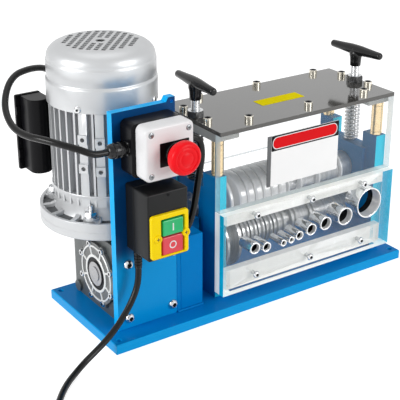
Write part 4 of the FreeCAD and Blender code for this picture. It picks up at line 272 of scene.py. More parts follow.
@dataclass(frozen=True)
class Paint(Finish):
    """A coat of paint or powder with slight orange peel."""

    roughness: float = 0.35
    metallic: float = 0.0
    coat: float = 0.0
    peel: float = 0.06
    shine: float = 0.5
    shade_heights: Pair | None = None
    unshaded_below: Colour = (0.5, 0.5, 0.5)

    def dress(self, wiring: Wiring, shader: bpy.types.Node) -> None:
        """Mottles the colour and the gloss, turns an unshaded colour below into the finish's own colour above
        as painted shade, and adds the peel.
        """
        mottle = wiring.effect(EFFECTS.mottle(), Scale=28.0, Fine_Scale=500.0)
        wear = wiring.effect(EFFECTS.wear(), Scale=260.0, Amount=0.25)
        tone = wiring.blend(mottle["Cloud"], self.colour, self.shade)
        # Painted shade: between these heights the colour goes over from the unshaded colour below to the
        # finish's own darker colour.
        if self.shade_heights:
            levels = wiring.effect(EFFECTS.levels(), Low=self.shade_heights[0] * MM, High=self.shade_heights[1] * MM)
            tone = wiring.blend(levels["Height"], self.unshaded_below, tone)
        gloss = wiring.around(mottle["Cloud"], self.roughness, 0.8, 1.2)
        rubbed = wiring.math("ADD", gloss, wiring.math("MULTIPLY", wear["Scuffs"], 0.15))
        wiring.fill(shader, Base_Color=tone, Roughness=rubbed, Metallic=self.metallic, Coat_Weight=self.coat,
                    Coat_Roughness=0.12, Specular_IOR_Level=self.shine,
                    Normal=wiring.bump(mottle["Fine"], self.peel, 0.0004))


@dataclass(frozen=True)
class Casting(Finish):
    """A shot-blasted and painted casting with a pebbly skin."""

    roughness: float
    metallic: float

    def dress(self, wiring: Wiring, shader: bpy.types.Node) -> None:
        """Gives the casting its pebbles and cloudy tone."""
        mottle = wiring.effect(EFFECTS.mottle(), Scale=45.0, Fine_Scale=1100.0)
        pebbles = wiring.add("ShaderNodeTexVoronoi", {"Vector": wiring.place(), "Scale": 900.0})
        skin = wiring.math("ADD", pebbles.outputs["Distance"], mottle["Fine"])
        wiring.fill(shader, Base_Color=wiring.blend(mottle["Cloud"], self.colour, self.shade),
                    Roughness=wiring.around(mottle["Fine"], self.roughness, 0.8, 1.15),
                    Metallic=self.metallic, Normal=wiring.bump(skin, 0.12, 0.0005))


@dataclass(frozen=True)
class BareMetal(Finish):
    """A bare or plated metal with the marks of its working."""

    roughness: float
    grain: Grain = Grain.TURNED
    axis: Axis = Axis.X
    centre: Place = (0.0, 0.0, 0.0)
    marks: float = 0.15
    metallic: float = 1.0

    def dress(self, wiring: Wiring, shader: bpy.types.Node) -> None:
        """Lays the lathe rings, brush lines or plating over the metal."""
        if self.grain is Grain.TURNED:
            centre = tuple(value * MM for value in self.centre)
            rings = wiring.effect(EFFECTS.rings(), Scale=1500.0, Axis=self.axis.unit(), Centre=centre)
            lines, bands = rings["Lines"], rings["Bands"]
        elif self.grain is Grain.BRUSHED:
            stretch = [1400.0, 1400.0, 1400.0]
            stretch[self.axis.value] = 18.0
            lines = wiring.effect(EFFECTS.brushing(), Stretch=stretch)["Lines"]
            bands = wiring.effect(EFFECTS.mottle(), Scale=35.0)["Cloud"]
        else:
            mottle = wiring.effect(EFFECTS.mottle(), Scale=60.0, Fine_Scale=1500.0)
            lines, bands = mottle["Fine"], mottle["Cloud"]
        wiring.fill(shader, Base_Color=wiring.blend(bands, self.colour, self.shade),
                    Roughness=wiring.around(lines, self.roughness, 0.7, 1.3), Metallic=self.metallic,
                    Normal=wiring.bump(lines, self.marks, 0.0001))


@dataclass(frozen=True)
class Plastic(Finish):
    """Moulded plastic or rubber with a fine spark-eroded skin."""

    roughness: float
    coat: float = 0.0
    skin: float = 0.08
    shine: float = 0.5

    def dress(self, wiring: Wiring, shader: bpy.types.Node) -> None:
        """Varies the gloss and presses in the mould's skin."""
        mottle = wiring.effect(EFFECTS.mottle(), Scale=40.0, Fine_Scale=1600.0)
        wear = wiring.effect(EFFECTS.wear(), Scale=320.0, Amount=0.2)
        gloss = wiring.around(mottle["Fine"], self.roughness, 0.85, 1.15)
        rubbed = wiring.math("ADD", gloss, wiring.math("MULTIPLY", wear["Scuffs"], 0.1))
        wiring.fill(shader, Base_Color=wiring.blend(mottle["Cloud"], self.colour, self.shade),
                    Roughness=rubbed, Coat_Weight=self.coat, Specular_IOR_Level=self.shine,
                    Normal=wiring.bump(mottle["Fine"], self.skin, 0.0003))


@dataclass(frozen=True)
class ClearFace(Finish):
    """The polished faces of a clear sheet, whose pale colour, shown as far as a face reflects, is a painted
    reflection; the rest shows through.
    """

    even_sheen: float = 0.03
    mirror: float = 0.8

    def dress(self, wiring: Wiring, shader: bpy.types.Node) -> None:
        """Covers only as much as a clear face reflects; the far side of a face adds nothing."""
        cloud = wiring.effect(EFFECTS.mottle(), Scale=14.0, Fine_Scale=700.0)["Cloud"]
        gloss = wiring.add("ShaderNodeFresnel", {"IOR": 1.49}).outputs[0]
        front = wiring.math("SUBTRACT", 1.0, wiring.add("ShaderNodeNewGeometry").outputs["Backfacing"])
        sheen = wiring.math("MULTIPLY", wiring.math("MULTIPLY", gloss, front), self.mirror)
        wiring.fill(shader, Alpha=wiring.math("ADD", sheen, wiring.around(cloud, self.even_sheen, 0.8, 1.2)),
                    Base_Color=wiring.blend(cloud, self.colour, self.shade),
                    Roughness=wiring.spread(cloud, 0.02, 0.06))


@dataclass(frozen=True)
class SawnEdge(Finish):
    """The edges of a clear sheet, in their own tint, with a painted glow for the light that they gather."""

    cover: float = 0.62
    glow: float = 0.08

    def dress(self, wiring: Wiring, shader: bpy.types.Node) -> None:
        """Streaks the edge; one that covers less than fully also lets light through."""
        streaks = wiring.effect(EFFECTS.brushing(), Scale=1.0, Stretch=(60, 60, 60))["Lines"]
        tone = wiring.blend(streaks, self.colour, self.shade)
        # The emission is a painted glow.
        wiring.fill(shader, Base_Color=tone, Emission_Color=tone, Emission_Strength=self.glow,
                    Roughness=wiring.spread(streaks, 0.15, 0.35))
        if self.cover < 1.0:
            wiring.fill(shader, Alpha=wiring.spread(streaks, self.cover * 0.9, min(1.0, self.cover * 1.08)))


BLUE = Paint("blue powder coat", "blue_paint", (0, 0.36, 0.8), (0, 0.33, 0.74), 0.32, shine=0.12)
# Painted light: a lighter copy of the blue powder coat, for the front panel's edges and sides.
LIT_BLUE = Paint("blue powder coat, painted light", "blue_paint", (0, 0.48, 1), (0, 0.44, 0.94), 0.32, shine=0.12)
# Painted shade: a darker copy of the blue powder coat, for the base's top faces and the coupling cover.
SHADED_BLUE = Paint("blue powder coat, painted shade", "blue_paint", (0, 0.23, 0.62), (0, 0.18, 0.52), 0.3, shine=0.05)
# Painted shade: the darkest copy of the blue, for front faces under the boxes, lighter towards the bottom.
DEEP_SHADE_BLUE = Paint("blue powder coat in shade", "blue_paint", (0, 0.07, 0.24), (0, 0.045, 0.17), 0.3,
                  shine=0.12, shade_heights=(92, 118), unshaded_below=(0, 0.3, 0.7))
# Painted light: a lighter copy of the frame blue, for the end plates' front faces.
LIT_FRAME_BLUE = Paint("frame blue, painted light", "frame_teal", (0.02, 0.66, 0.86), (0.02, 0.58, 0.79), 0.32, shine=0.15)
FRAME_BLUE = Paint("frame blue", "frame_teal", (0, 0.19, 0.46), (0, 0.15, 0.4), 0.32, shine=0.1)
BLACK_PLATE = Paint("black top plate", "black_metal", (0.06, 0.058, 0.052), (0.05, 0.048, 0.043), 0.07,
                    coat=0.65, peel=0.01)
GEARBOX_GREY = Casting("gearbox casting", "gearbox_grey", (0.13, 0.14, 0.14), (0.09, 0.1, 0.1), 0.4, 0.35)
STAR_GREY = Casting("side cover casting", "gearbox_grey", (0.2, 0.205, 0.205), (0.12, 0.125, 0.125), 0.36,
                    0.4)
# Painted highlight: a pale copy of the side cover casting, for its raised rings and webs.
LIT_STAR_RIBS = Casting("side cover ribs, painted highlight", "gearbox_grey", (0.86, 0.87, 0.86), (0.74, 0.75, 0.74), 0.36, 0.3)
# Painted shade: a darker copy of the motor silver, for the floors between the fins.
GROOVE_SHADE = Paint("fin groove, painted shade", "motor_silver", (0.3, 0.31, 0.33), (0.22, 0.23, 0.25), 0.45, metallic=0.4)
# Painted shade: a dark grey for the flange's pocket floors and for a strip beside the sign.
SHADE_GREY = Paint("painted shade grey", "motor_silver", (0.13, 0.135, 0.14), (0.09, 0.095, 0.1), 0.5, metallic=0.3)
MOTOR_SILVER = Paint("motor silver", "motor_silver", (0.62, 0.63, 0.64), (0.54, 0.55, 0.56), 0.4,
                     metallic=0.5, peel=0.05)
COWL_SILVER = Paint("cowl silver", "motor_silver", (0.6, 0.61, 0.62), (0.55, 0.56, 0.57), 0.38, metallic=0.6,
                    peel=0.03)
BAR_METAL = BareMetal("cross bar aluminium", "aluminium", (0.36, 0.365, 0.355), (0.3, 0.305, 0.295), 0.4,
                      Grain.BRUSHED, Axis.Y, metallic=0.5)
ZINC = BareMetal("zinc plating", "zinc", (0.72, 0.73, 0.74), (0.6, 0.61, 0.62), 0.2, Grain.PLATED)
PALE_ZINC = BareMetal("pale zinc", "zinc", (0.86, 0.82, 0.72), (0.76, 0.71, 0.6), 0.24, Grain.PLATED)
CHROME = BareMetal("sleeve chrome", "zinc", (0.86, 0.87, 0.88), (0.8, 0.81, 0.82), 0.07, Grain.TURNED, Axis.Y,
                   marks=0.03)
# Painted light: a near-white bore for the lit inside of the sleeves' mouths.
LIT_BORE = BareMetal("sleeve bore, painted light", "steel", (1, 1, 1), (0.9, 0.91, 0.92), 0.2, Grain.TURNED, Axis.Y,
                 metallic=0.2)
STEEL_X = BareMetal("turned steel", "steel", (0.6, 0.6, 0.6), (0.42, 0.42, 0.42), 0.28, Grain.TURNED, Axis.X,
                    (0, 5, 60.5), metallic=0.7)
STEEL_UPPER = BareMetal("turned shaft steel", "steel", (0.7, 0.7, 0.71), (0.55, 0.55, 0.56), 0.3,
                        Grain.TURNED, Axis.X, (0, 5, 115.5), metallic=0.7)
# Painted light: near-white and barely metallic, so the knives look bright where they sit in shade.
BRIGHTENED_KNIFE = BareMetal("ground knife steel, painted light", "blade_steel", (1, 1, 1), (0.97, 0.97, 0.98), 0.2, Grain.TURNED,
                  Axis.X, (0, 5, 115.5), metallic=0.1)
SPRING_STEEL = BareMetal("spring steel", "steel", (0.62, 0.62, 0.63), (0.48, 0.48, 0.49), 0.28, Grain.PLATED)
# Painted shade: a dark copy of the spring steel, for the spring that stands in shade.
SHADED_SPRING_STEEL = BareMetal("spring steel, painted shade", "steel", (0.08, 0.08, 0.085), (0.05, 0.05, 0.055), 0.22,
                        Grain.PLATED)
MOTOR_STEEL = BareMetal("motor steel", "steel", (0.45, 0.45, 0.46), (0.35, 0.35, 0.36), 0.3, Grain.TURNED,
                        Axis.Z, (-156.5, 45, 0))
BRASS = BareMetal("pillar brass", "brass", (0.84, 0.66, 0.4), (0.72, 0.54, 0.3), 0.2, Grain.TURNED, Axis.Z)
BLACK = Plastic("black plastic", "black_plastic", (0.004, 0.004, 0.005), (0.003, 0.003, 0.004), 0.3,
                shine=0.12)
GLOSSY_BLACK = Plastic("glossy black plastic", "black_plastic", (0.006, 0.006, 0.007), (0.004, 0.004, 0.005),
                       0.22, coat=0.1, skin=0.03, shine=0.3)
CHARCOAL = Plastic("charcoal plastic", "black_plastic", (0.009, 0.0095, 0.01), (0.006, 0.0065, 0.007), 0.34,
                   shine=0.2)
# Black oxide on the lift nuts; elsewhere painted shade in screw sockets and slots.
BLACK_OXIDE_AND_RECESS_SHADE = Plastic("black oxide and recess shade", "black_metal", (0.03, 0.031, 0.033), (0.02, 0.021, 0.022), 0.28,
                      skin=0.04)
WHITE = Plastic("white plastic", "white_plastic", (0.84, 0.84, 0.85), (0.8, 0.8, 0.81), 0.28)
RED = Plastic("red plastic", "red_plastic", (0.93, 0.005, 0.012), (0.85, 0.004, 0.01), 0.32, skin=0.02,
              shine=0.15)
KEY_RED = Plastic("key red", "red_plastic", (0.78, 0.045, 0.07), (0.7, 0.035, 0.055), 0.3, skin=0.02)
SIGN_RED = Plastic("sign red", "red_plastic", (0.78, 0.004, 0.008), (0.72, 0.004, 0.008), 0.4, skin=0.02,
                   shine=0.1)
GREEN = Plastic("key green", "green_plastic", (0, 0.5, 0.16), (0, 0.43, 0.13), 0.3, skin=0.02)
YELLOW = Plastic("yellow plastic", "yellow_plastic", (1, 0.74, 0), (0.97, 0.69, 0), 0.28, skin=0.03,
                 shine=0.15)
STRIP_YELLOW = Plastic("strip yellow", "yellow_plastic", (1, 0.84, 0), (0.97, 0.8, 0), 0.6, skin=0.02,
                       shine=0.02)
SIGN_WHITE = Plastic("sign white", "white_plastic", (0.98, 0.98, 0.98), (0.95, 0.95, 0.95), 0.4, skin=0.02)
RUBBER = Plastic("cable rubber", "rubber", (0.005, 0.005, 0.005), (0.003, 0.003, 0.003), 0.24, skin=0.04,
                 shine=0.25)
GREY_ZINC = BareMetal("dull zinc", "zinc", (0.3, 0.31, 0.32), (0.2, 0.21, 0.22), 0.3, Grain.PLATED)
CLEAR = ClearFace("clear face", "acrylic", (0.86, 0.96, 1), (0.9, 0.98, 1))
# The pale cyan is partly the sheet's own tint and partly painted light; its small emission is a painted glow.
TINTED_GLOW_EDGE = SawnEdge("sawn edge", "acrylic", (0.62, 0.76, 0.8), (0.86, 0.95, 0.97))
# Painted glow: a pale, strongly glowing edge for the lower guard.
PALE_GLOW_EDGE = SawnEdge("pale sawn edge with painted glow", "acrylic", (0.78, 0.79, 0.76), (0.97, 0.98, 0.95), 1, 0.34)
# Painted glow: azure strips for the end plates' blue showing through the guards' ends.
AZURE_GLOW = SawnEdge("azure painted glow strip", "acrylic", (0, 0.42, 0.66), (0.01, 0.62, 0.88), 1, 0.2)
# Painted glow: the guard bars glow a little.
GLOWING_RAIL_METAL = SawnEdge("sawn bar aluminium with painted glow", "aluminium", (0.8, 0.8, 0.78), (0.95, 0.95, 0.93), 1, 0.14)


def basis(way: Axis | Vector) -> tuple[Vector, Vector, Vector]:
    """Two directions across a way, and the way itself.

    Args:
        way: an axis of the frame, or any direction.

    Returns:
        Across, up and along; for an axis the first two are the other axes in order.
    """
    if isinstance(way, Axis):
        others = [axis.unit() for axis in Axis if axis is not way]
        return others[0], others[1], way.unit()
    along = way.normalized()
    across = along.orthogonal().normalized()
    return across, along.cross(across), along


def spokes(way: Axis, count: int, first: float) -> list[tuple[Vector, Vector]]:
    """Evenly spaced directions round an axis, the first in degrees, each with the one a quarter turn on."""
    level, up, _ = basis(way)
    turns = [math.radians(first + 360 / count * number) for number in range(count)]
    return [(level * math.cos(turn) + up * math.sin(turn), up * math.cos(turn) - level * math.sin(turn))
            for turn in turns]


def rounded(low: Pair, high: Pair, radius: float, inset: float = 0.0, steps: int = 6) -> list[Pair]:
    """The outline of a rectangle with round corners.

    Args:
        low: the lower left corner.
        high: the upper right corner.
        radius: of the corners.
        inset: how far the outline is drawn in on all sides.
        steps: points on a corner, less one.
    """
    reach = max(radius - inset, 0.01)
    centres = ((high[0], high[1], 0), (low[0], high[1], 1), (low[0], low[1], 2), (high[0], low[1], 3))
    points = []
    for x, y, quarter in centres:
        centre_x = x - math.copysign(inset + reach, x - (low[0] + high[0]) / 2)
        centre_y = y - math.copysign(inset + reach, y - (low[1] + high[1]) / 2)
        for step in range(steps + 1):
            angle = math.pi / 2 * (quarter + step / steps)
            points.append((centre_x + reach * math.cos(angle), centre_y + reach * math.sin(angle)))
    return points


def stand(name: str, data: bpy.types.ID | None) -> bpy.types.Object:
    """Puts an object with this data into the scene."""
    item = bpy.data.objects.new(name, data)
    bpy.context.scene.collection.objects.link(item)
    return item


class Shape:
    """A mesh in the making, in millimetres."""

    def __init__(self) -> None:
        """Starts with nothing; faces made while coat is 1 take the piece's second finish."""
        self.mesh = bmesh.new()
        self.coat = 0

    def skin(self, rings: Sequence[Sequence[Vector]], joined: bool = False, second: int = 0) -> "Shape":
        """Lays faces between rings of points, and closes the ends.

        Args:
            rings: each has as many points as the others, or just one.
            joined: whether the last ring joins the first.
            second: how many of the last bands take the second finish.
        """
        rows = [[self.mesh.verts.new(point) for point in ring] for ring in rings]
        bands = list(zip(rows, rows[1:]))
        if joined:
            bands.append((rows[-1], rows[0]))
        for number, (low, high) in enumerate(bands):
            coat = 1 if number >= len(bands) - second else self.coat
            for step in range(max(len(low), len(high))):
                after = step + 1
                corners = (low[step % len(low)], low[after % len(low)], high[after % len(high)],
                           high[step % len(high)])
                unique = list(dict.fromkeys(corners))
                if len(unique) > 2:
                    self.mesh.faces.new(unique).material_index = coat
        if not joined:
            for row in (rows[0], rows[-1]):
                if len(row) > 2:
                    self.mesh.faces.new(row).material_index = self.coat
        return self

    def lathe(self, way: Axis | Vector, centre: Place | Vector, profile: Sequence[tuple], steps: int = 48,
              joined: bool = False, second: int = 0) -> "Shape":
        """Turns a profile round a line.

        Args:
            way: the line's direction.
            centre: a point on the line.
            profile: (radius, distance along) pairs; a third number gives a ring that many corners.
            steps: points on a ring.
            joined: whether the profile closes on itself.
            second: how many of its last bands take the second finish.
        """
        across, up, along = basis(way)
        rings = []
        for radius, distance, *corners in profile:
            middle = Vector(centre) + along * distance
            if radius < 0.001:
                rings.append([middle])
                continue
            ring = []
            for step in range(steps):
                angle = math.tau * step / steps
                reach = radius
                if corners:
                    half = math.pi / corners[0]
                    reach *= math.cos(half) / math.cos(angle % (2 * half) - half)
                ring.append(middle + (across * math.cos(angle) + up * math.sin(angle)) * reach)
            rings.append(ring)
        return self.skin(rings, joined, second)

    def loft(self, way: Axis, sections: Sequence[tuple[Sequence[Pair], float]],
             joined: bool = False) -> "Shape":
        """Stretches a skin over outlines across an axis, each at its place along it."""
        across, up, along = basis(way)
        rings = [[across * a + up * b + along * at for a, b in outline] for outline, at in sections]
        return self.skin(rings, joined)

    def block(self, way: Axis, low: Pair, high: Pair, radius: float, stops: Iterable[Pair]) -> "Shape":
        """Adds a block with round corners along an axis.

        Args:
            way: the axis.
            low: the lower left corner of its outline.
            high: the upper right corner.
            radius: of the corners.
            stops: (distance along, inset) pairs from one end to the other.
        """
        return self.loft(way, [(rounded(low, high, radius, inset), at) for at, inset in stops])

    def slab(self, low: Place, high: Place) -> "Shape":
        """Adds a sharp block between two corners."""
        outline = ((low[0], low[1]), (high[0], low[1]), (high[0], high[1]), (low[0], high[1]))
        return self.loft(Axis.Z, [(outline, low[2]), (outline, high[2])])

    def cross(self, place: Place, half: float, thin: float, deep: float) -> "Shape":
        """Adds a dark cross that faces the front, in the second finish: painted shade that stands for a
        crossed slot.

        Args:
            place: the middle of its front.
            half: half the length of a slot.
            thin: half its width.
            deep: how far it reaches back.
        """
        x, y, z = place
        self.coat = 1
        for wide, tall in ((half, thin), (thin, half)):
            self.slab((x - wide, y, z - tall), (x + wide, y + deep, z + tall))
        self.coat = 0
        return self

    def tube(self, points: Sequence[Vector], radius: float, sides: int = 10) -> "Shape":
        """Sweeps a round section along points, without twisting it."""
        rings = []
        across = None
        for index, place in enumerate(points):
            before = points[max(index - 1, 0)]
            after = points[min(index + 1, len(points) - 1)]
            way = (after - before).normalized()
            across = way.orthogonal() if across is None else across - way * across.dot(way)
            across.normalize()
            up = way.cross(across)
            turns = (math.tau * step / sides for step in range(sides))
            rings.append([place + (across * math.cos(turn) + up * math.sin(turn)) * radius for turn in turns])
        return self.skin(rings)

    def take(self, *nodes: str) -> "Shape":
        """Adds the shapes of carried-over nodes, with their flat faces made whole."""
        for node in nodes:
            there = set(self.mesh.verts)
            self.mesh.from_mesh(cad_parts[node].data)
            added = [vertex for vertex in self.mesh.verts if vertex not in there]
            bmesh.ops.scale(self.mesh, vec=(1 / MM,) * 3, verts=added)
            bmesh.ops.remove_doubles(self.mesh, verts=self.mesh.verts, dist=0.01)
            bmesh.ops.dissolve_limit(self.mesh, angle_limit=math.radians(1.0), verts=self.mesh.verts,
                                     edges=self.mesh.edges)
            for face in self.mesh.faces:
                face.material_index = 0
        return self

    def mark(self, picks: Callable[[bmesh.types.BMFace], bool]) -> "Shape":
        """Gives the faces that are picked the second finish."""
        for face in self.mesh.faces:
            face.normal_update()
            if picks(face):
                face.material_index = 1
        return self

    def turn(self, centre: Place, degrees: float) -> "Shape":
        """Turns what is there round an upright line."""
        bmesh.ops.rotate(self.mesh, cent=centre, matrix=Matrix.Rotation(math.radians(degrees), 3, "Z"),
                         verts=self.mesh.verts)
        return self

    def item(self, name: str) -> bpy.types.Object:
        """Ends the mesh and puts it into the scene, in metres."""
        bmesh.ops.recalc_face_normals(self.mesh, faces=self.mesh.faces)
        bmesh.ops.scale(self.mesh, vec=(MM, MM, MM), verts=self.mesh.verts)
        data = bpy.data.meshes.new(name)
        self.mesh.to_mesh(data)
        self.mesh.free()
        return stand(name, data)


@dataclass
class Piece:
    """One piece made here: its name and finishes, the nodes that it stands for, its edges and its body."""

    name: str
    finish: Finish
    stands_for: tuple[str, ...] = ()
    bevel: float = 0.0
    segments: int = 2
    second: Finish | None = None
    crease: float = 35.0
    body: str = "frame"

    def settle(self, shape: Shape) -> bpy.types.Object:
        """Dresses the shape, breaks its edges and lets it ride."""
        item = self.shade(shape.item(self.name))
        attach(item, self.body)
        return item

    def shade(self, item: bpy.types.Object) -> bpy.types.Object:
        """Gives a mesh its finishes, smooth shading and edges, and hides the nodes that it stands for."""
        for finish in filter(None, (self.finish, self.second)):
            item.data.materials.append(finish.material())
        item.data.shade_smooth()
        item.data.set_sharp_from_angle(angle=math.radians(self.crease))
        if self.bevel:
            edges = item.modifiers.new("broken edges", "BEVEL")
            edges.width = self.bevel * MM
            edges.segments = self.segments
            edges.limit_method = "ANGLE"
            edges.angle_limit = math.radians(self.crease)
            edges.harden_normals = True
        self.note(item)
        return item

    def note(self, item: bpy.types.Object) -> None:
        """Hides the nodes that the piece stands for, and logs the piece."""
        if self.stands_for:
            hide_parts(*self.stands_for)
        LOG.info("built %s", self.name)

    def soften(self, towards: Vector | None = None) -> bpy.types.Object:
        """Copies the nodes that the piece stands for, and breaks their edges.

        Args:
            towards: faces that look this way take the second finish.
        """
        shape = Shape().take(*self.stands_for)
        if towards is not None:
            shape.mark(lambda face: face.normal.dot(towards) > SQUARE_ON)
        return self.settle(shape)

    def turned(self, way: Axis | Vector, centres: Iterable[Place | Vector], profile: Sequence[tuple],
               steps: int = 48, joined: bool = False, second: int = 0) -> bpy.types.Object:
        """Turns one profile round a line through each centre; the rest is as in Shape.lathe."""
        shape = Shape()
        for centre in centres:
            shape.lathe(way, centre, profile, steps, joined, second)
        return self.settle(shape)


@dataclass
class Line:
    """A lead or cord: a smooth line through space with a round section."""

    piece: Piece
    radius: float
    route: Sequence[Place]

    def build(self) -> bpy.types.Object:
        """Makes the curve and lets it ride."""
        data = bpy.data.curves.new(self.piece.name, "CURVE")
        data.dimensions = "3D"
        data.bevel_depth = self.radius * MM
        data.bevel_resolution = 5
        data.resolution_u = 6
        data.use_fill_caps = True
        spline = data.splines.new("NURBS")
        spline.points.add(len(self.route) - 1)
        for point, place in zip(spline.points, self.route):
            point.co = (*(value * MM for value in place), 1.0)
        spline.order_u = 3
        spline.use_endpoint_u = True
        data.materials.append(self.piece.finish.material())
        item = stand(self.piece.name, data)
        self.piece.note(item)
        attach(item, self.piece.body)
        return item


@dataclass
class Leads:
    """The lead from the motor, the lead between the boxes, and the mains cord with its coil and plug."""

    lead_radius: float = 3.9
    jumper_radius: float = 4.0
    cord_radius: float = 3.75
    cord_length: float = 1.75
    coil_centre: Place = (-342.87, -239.13, 4.75)
    coil_radius: float = 50.0
    coil_pitch: float = 8.1
    coil_turns: int = 3
    coil_angle: float = 141.5
    points_per_turn: int = 16
    tail: float = 36.0
    plug_body: float = 56.0
    control: tuple[Place, ...] = (
        (-211, -67.5, 242.5), (-222, -67.5, 242.5), (-232, -67, 243.5), (-244, -62, 250),
        (-259.3, -50, 255.3), (-272, -31, 258), (-280, -8, 256.5), (-284, 15, 259), (-281, 38, 266.5),
        (-274, 57, 276.5), (-260.5, 75, 288.3), (-246, 86, 295), (-231, 94, 295.5), (-212.5, 103.5, 293.5),
        (-194.5, 112.5, 288), (-181, 121, 276), (-172, 126, 262), (-168.5, 127.2, 248), (-168.5, 127.2, 228))
    jumper: tuple[Place, ...] = (
        (-117, -67.5, 238), (-108, -67.5, 238), (-100, -67.5, 236), (-95, -69, 228), (-94.5, -70, 213),
        (-97.5, -70, 197), (-100.5, -70, 180), (-103.5, -70, 162), (-107.5, -70, 145), (-113, -70, 131),
        (-122, -70, 123), (-136, -70, 123))
    cord: tuple[Place, ...] = (
        (-182, -70.67, 97), (-182, -70.67, 83), (-186.6, -71.3, 68), (-195, -73, 55), (-206, -75, 42.5),
        (-218.5, -77, 31), (-232.5, -79.3, 21.5), (-248, -82, 13.8), (-264, -86.5, 8.2), (-280, -95, 4.8),
        (-295.5, -106, 3.85), (-309.5, -120, 3.85), (-322.5, -136, 3.85), (-337, -152, 3.85),
        (-351.5, -169, 4), (-364.9, -186.5, 4.75), (-377.3, -202.1, 4.75))

    def coil(self) -> tuple[list[Place], Vector]:
        """The stored cord: a flat spiral in, a climb, and a spiral out over it.

        Returns:
            Its points, and the direction in which it ends.
        """
        centre = Vector(self.coil_centre)
        steps = 2 * self.coil_turns * self.points_per_turn
        points = []
        for step in range(1, steps + 1):
            quarters = 8 * self.coil_turns * step / steps
            from_middle = quarters - 4 * self.coil_turns
            reach = self.coil_radius - self.coil_pitch * (self.coil_turns - abs(from_middle) / 4)
            climb = min(max((from_middle + 1) / 2, 0), 1)
            rise = self.coil_pitch * climb * climb * (3 - 2 * climb)
            angle = math.radians(self.coil_angle) + quarters * math.pi / 2
            out = Vector((math.cos(angle), math.sin(angle), 0))
            points.append(tuple(centre + out * reach + Vector((0, 0, rise))))
        drift = self.coil_pitch / math.tau
        way = Vector((-out.y, out.x, 0)) * self.coil_radius + out * drift
        return points, way.normalized()

    def build(self) -> None:
        Line(Piece("motor_lead", RUBBER, ("control_lead",)), self.lead_radius, self.control).build()
        Line(Piece("box_lead", RUBBER, ("jumper_lead",)), self.jumper_radius, self.jumper).build()
        coil, way = self.coil()
        last = Vector(coil[-1])
        tail = [tuple(last + way * self.tail * part) for part in (0.33, 0.67, 1)]
        lead = Piece("mains_lead", RUBBER, ("mains_cord", "mains_coil"))
        laid = Line(lead, self.cord_radius, [*self.cord, *coil, *tail]).build()
        plug = self.plug(Vector(tail[-1]), way)
        tie = Piece("cord_tie", GLOSSY_BLACK, ("coil_tie",), 0.25).soften()

    def plug(self, start: Vector, way: Vector) -> bpy.types.Object:
        """The plug at the end of the cord, its pins in bright metal."""
        shape = Shape().take("mains_plug")
        shape.mark(lambda face: (face.calc_center_median() - start).dot(way) > self.plug_body + 0.3)
        return Piece("lead_plug", RUBBER, ("mains_plug",), 1, 3, second=CHROME).settle(shape)


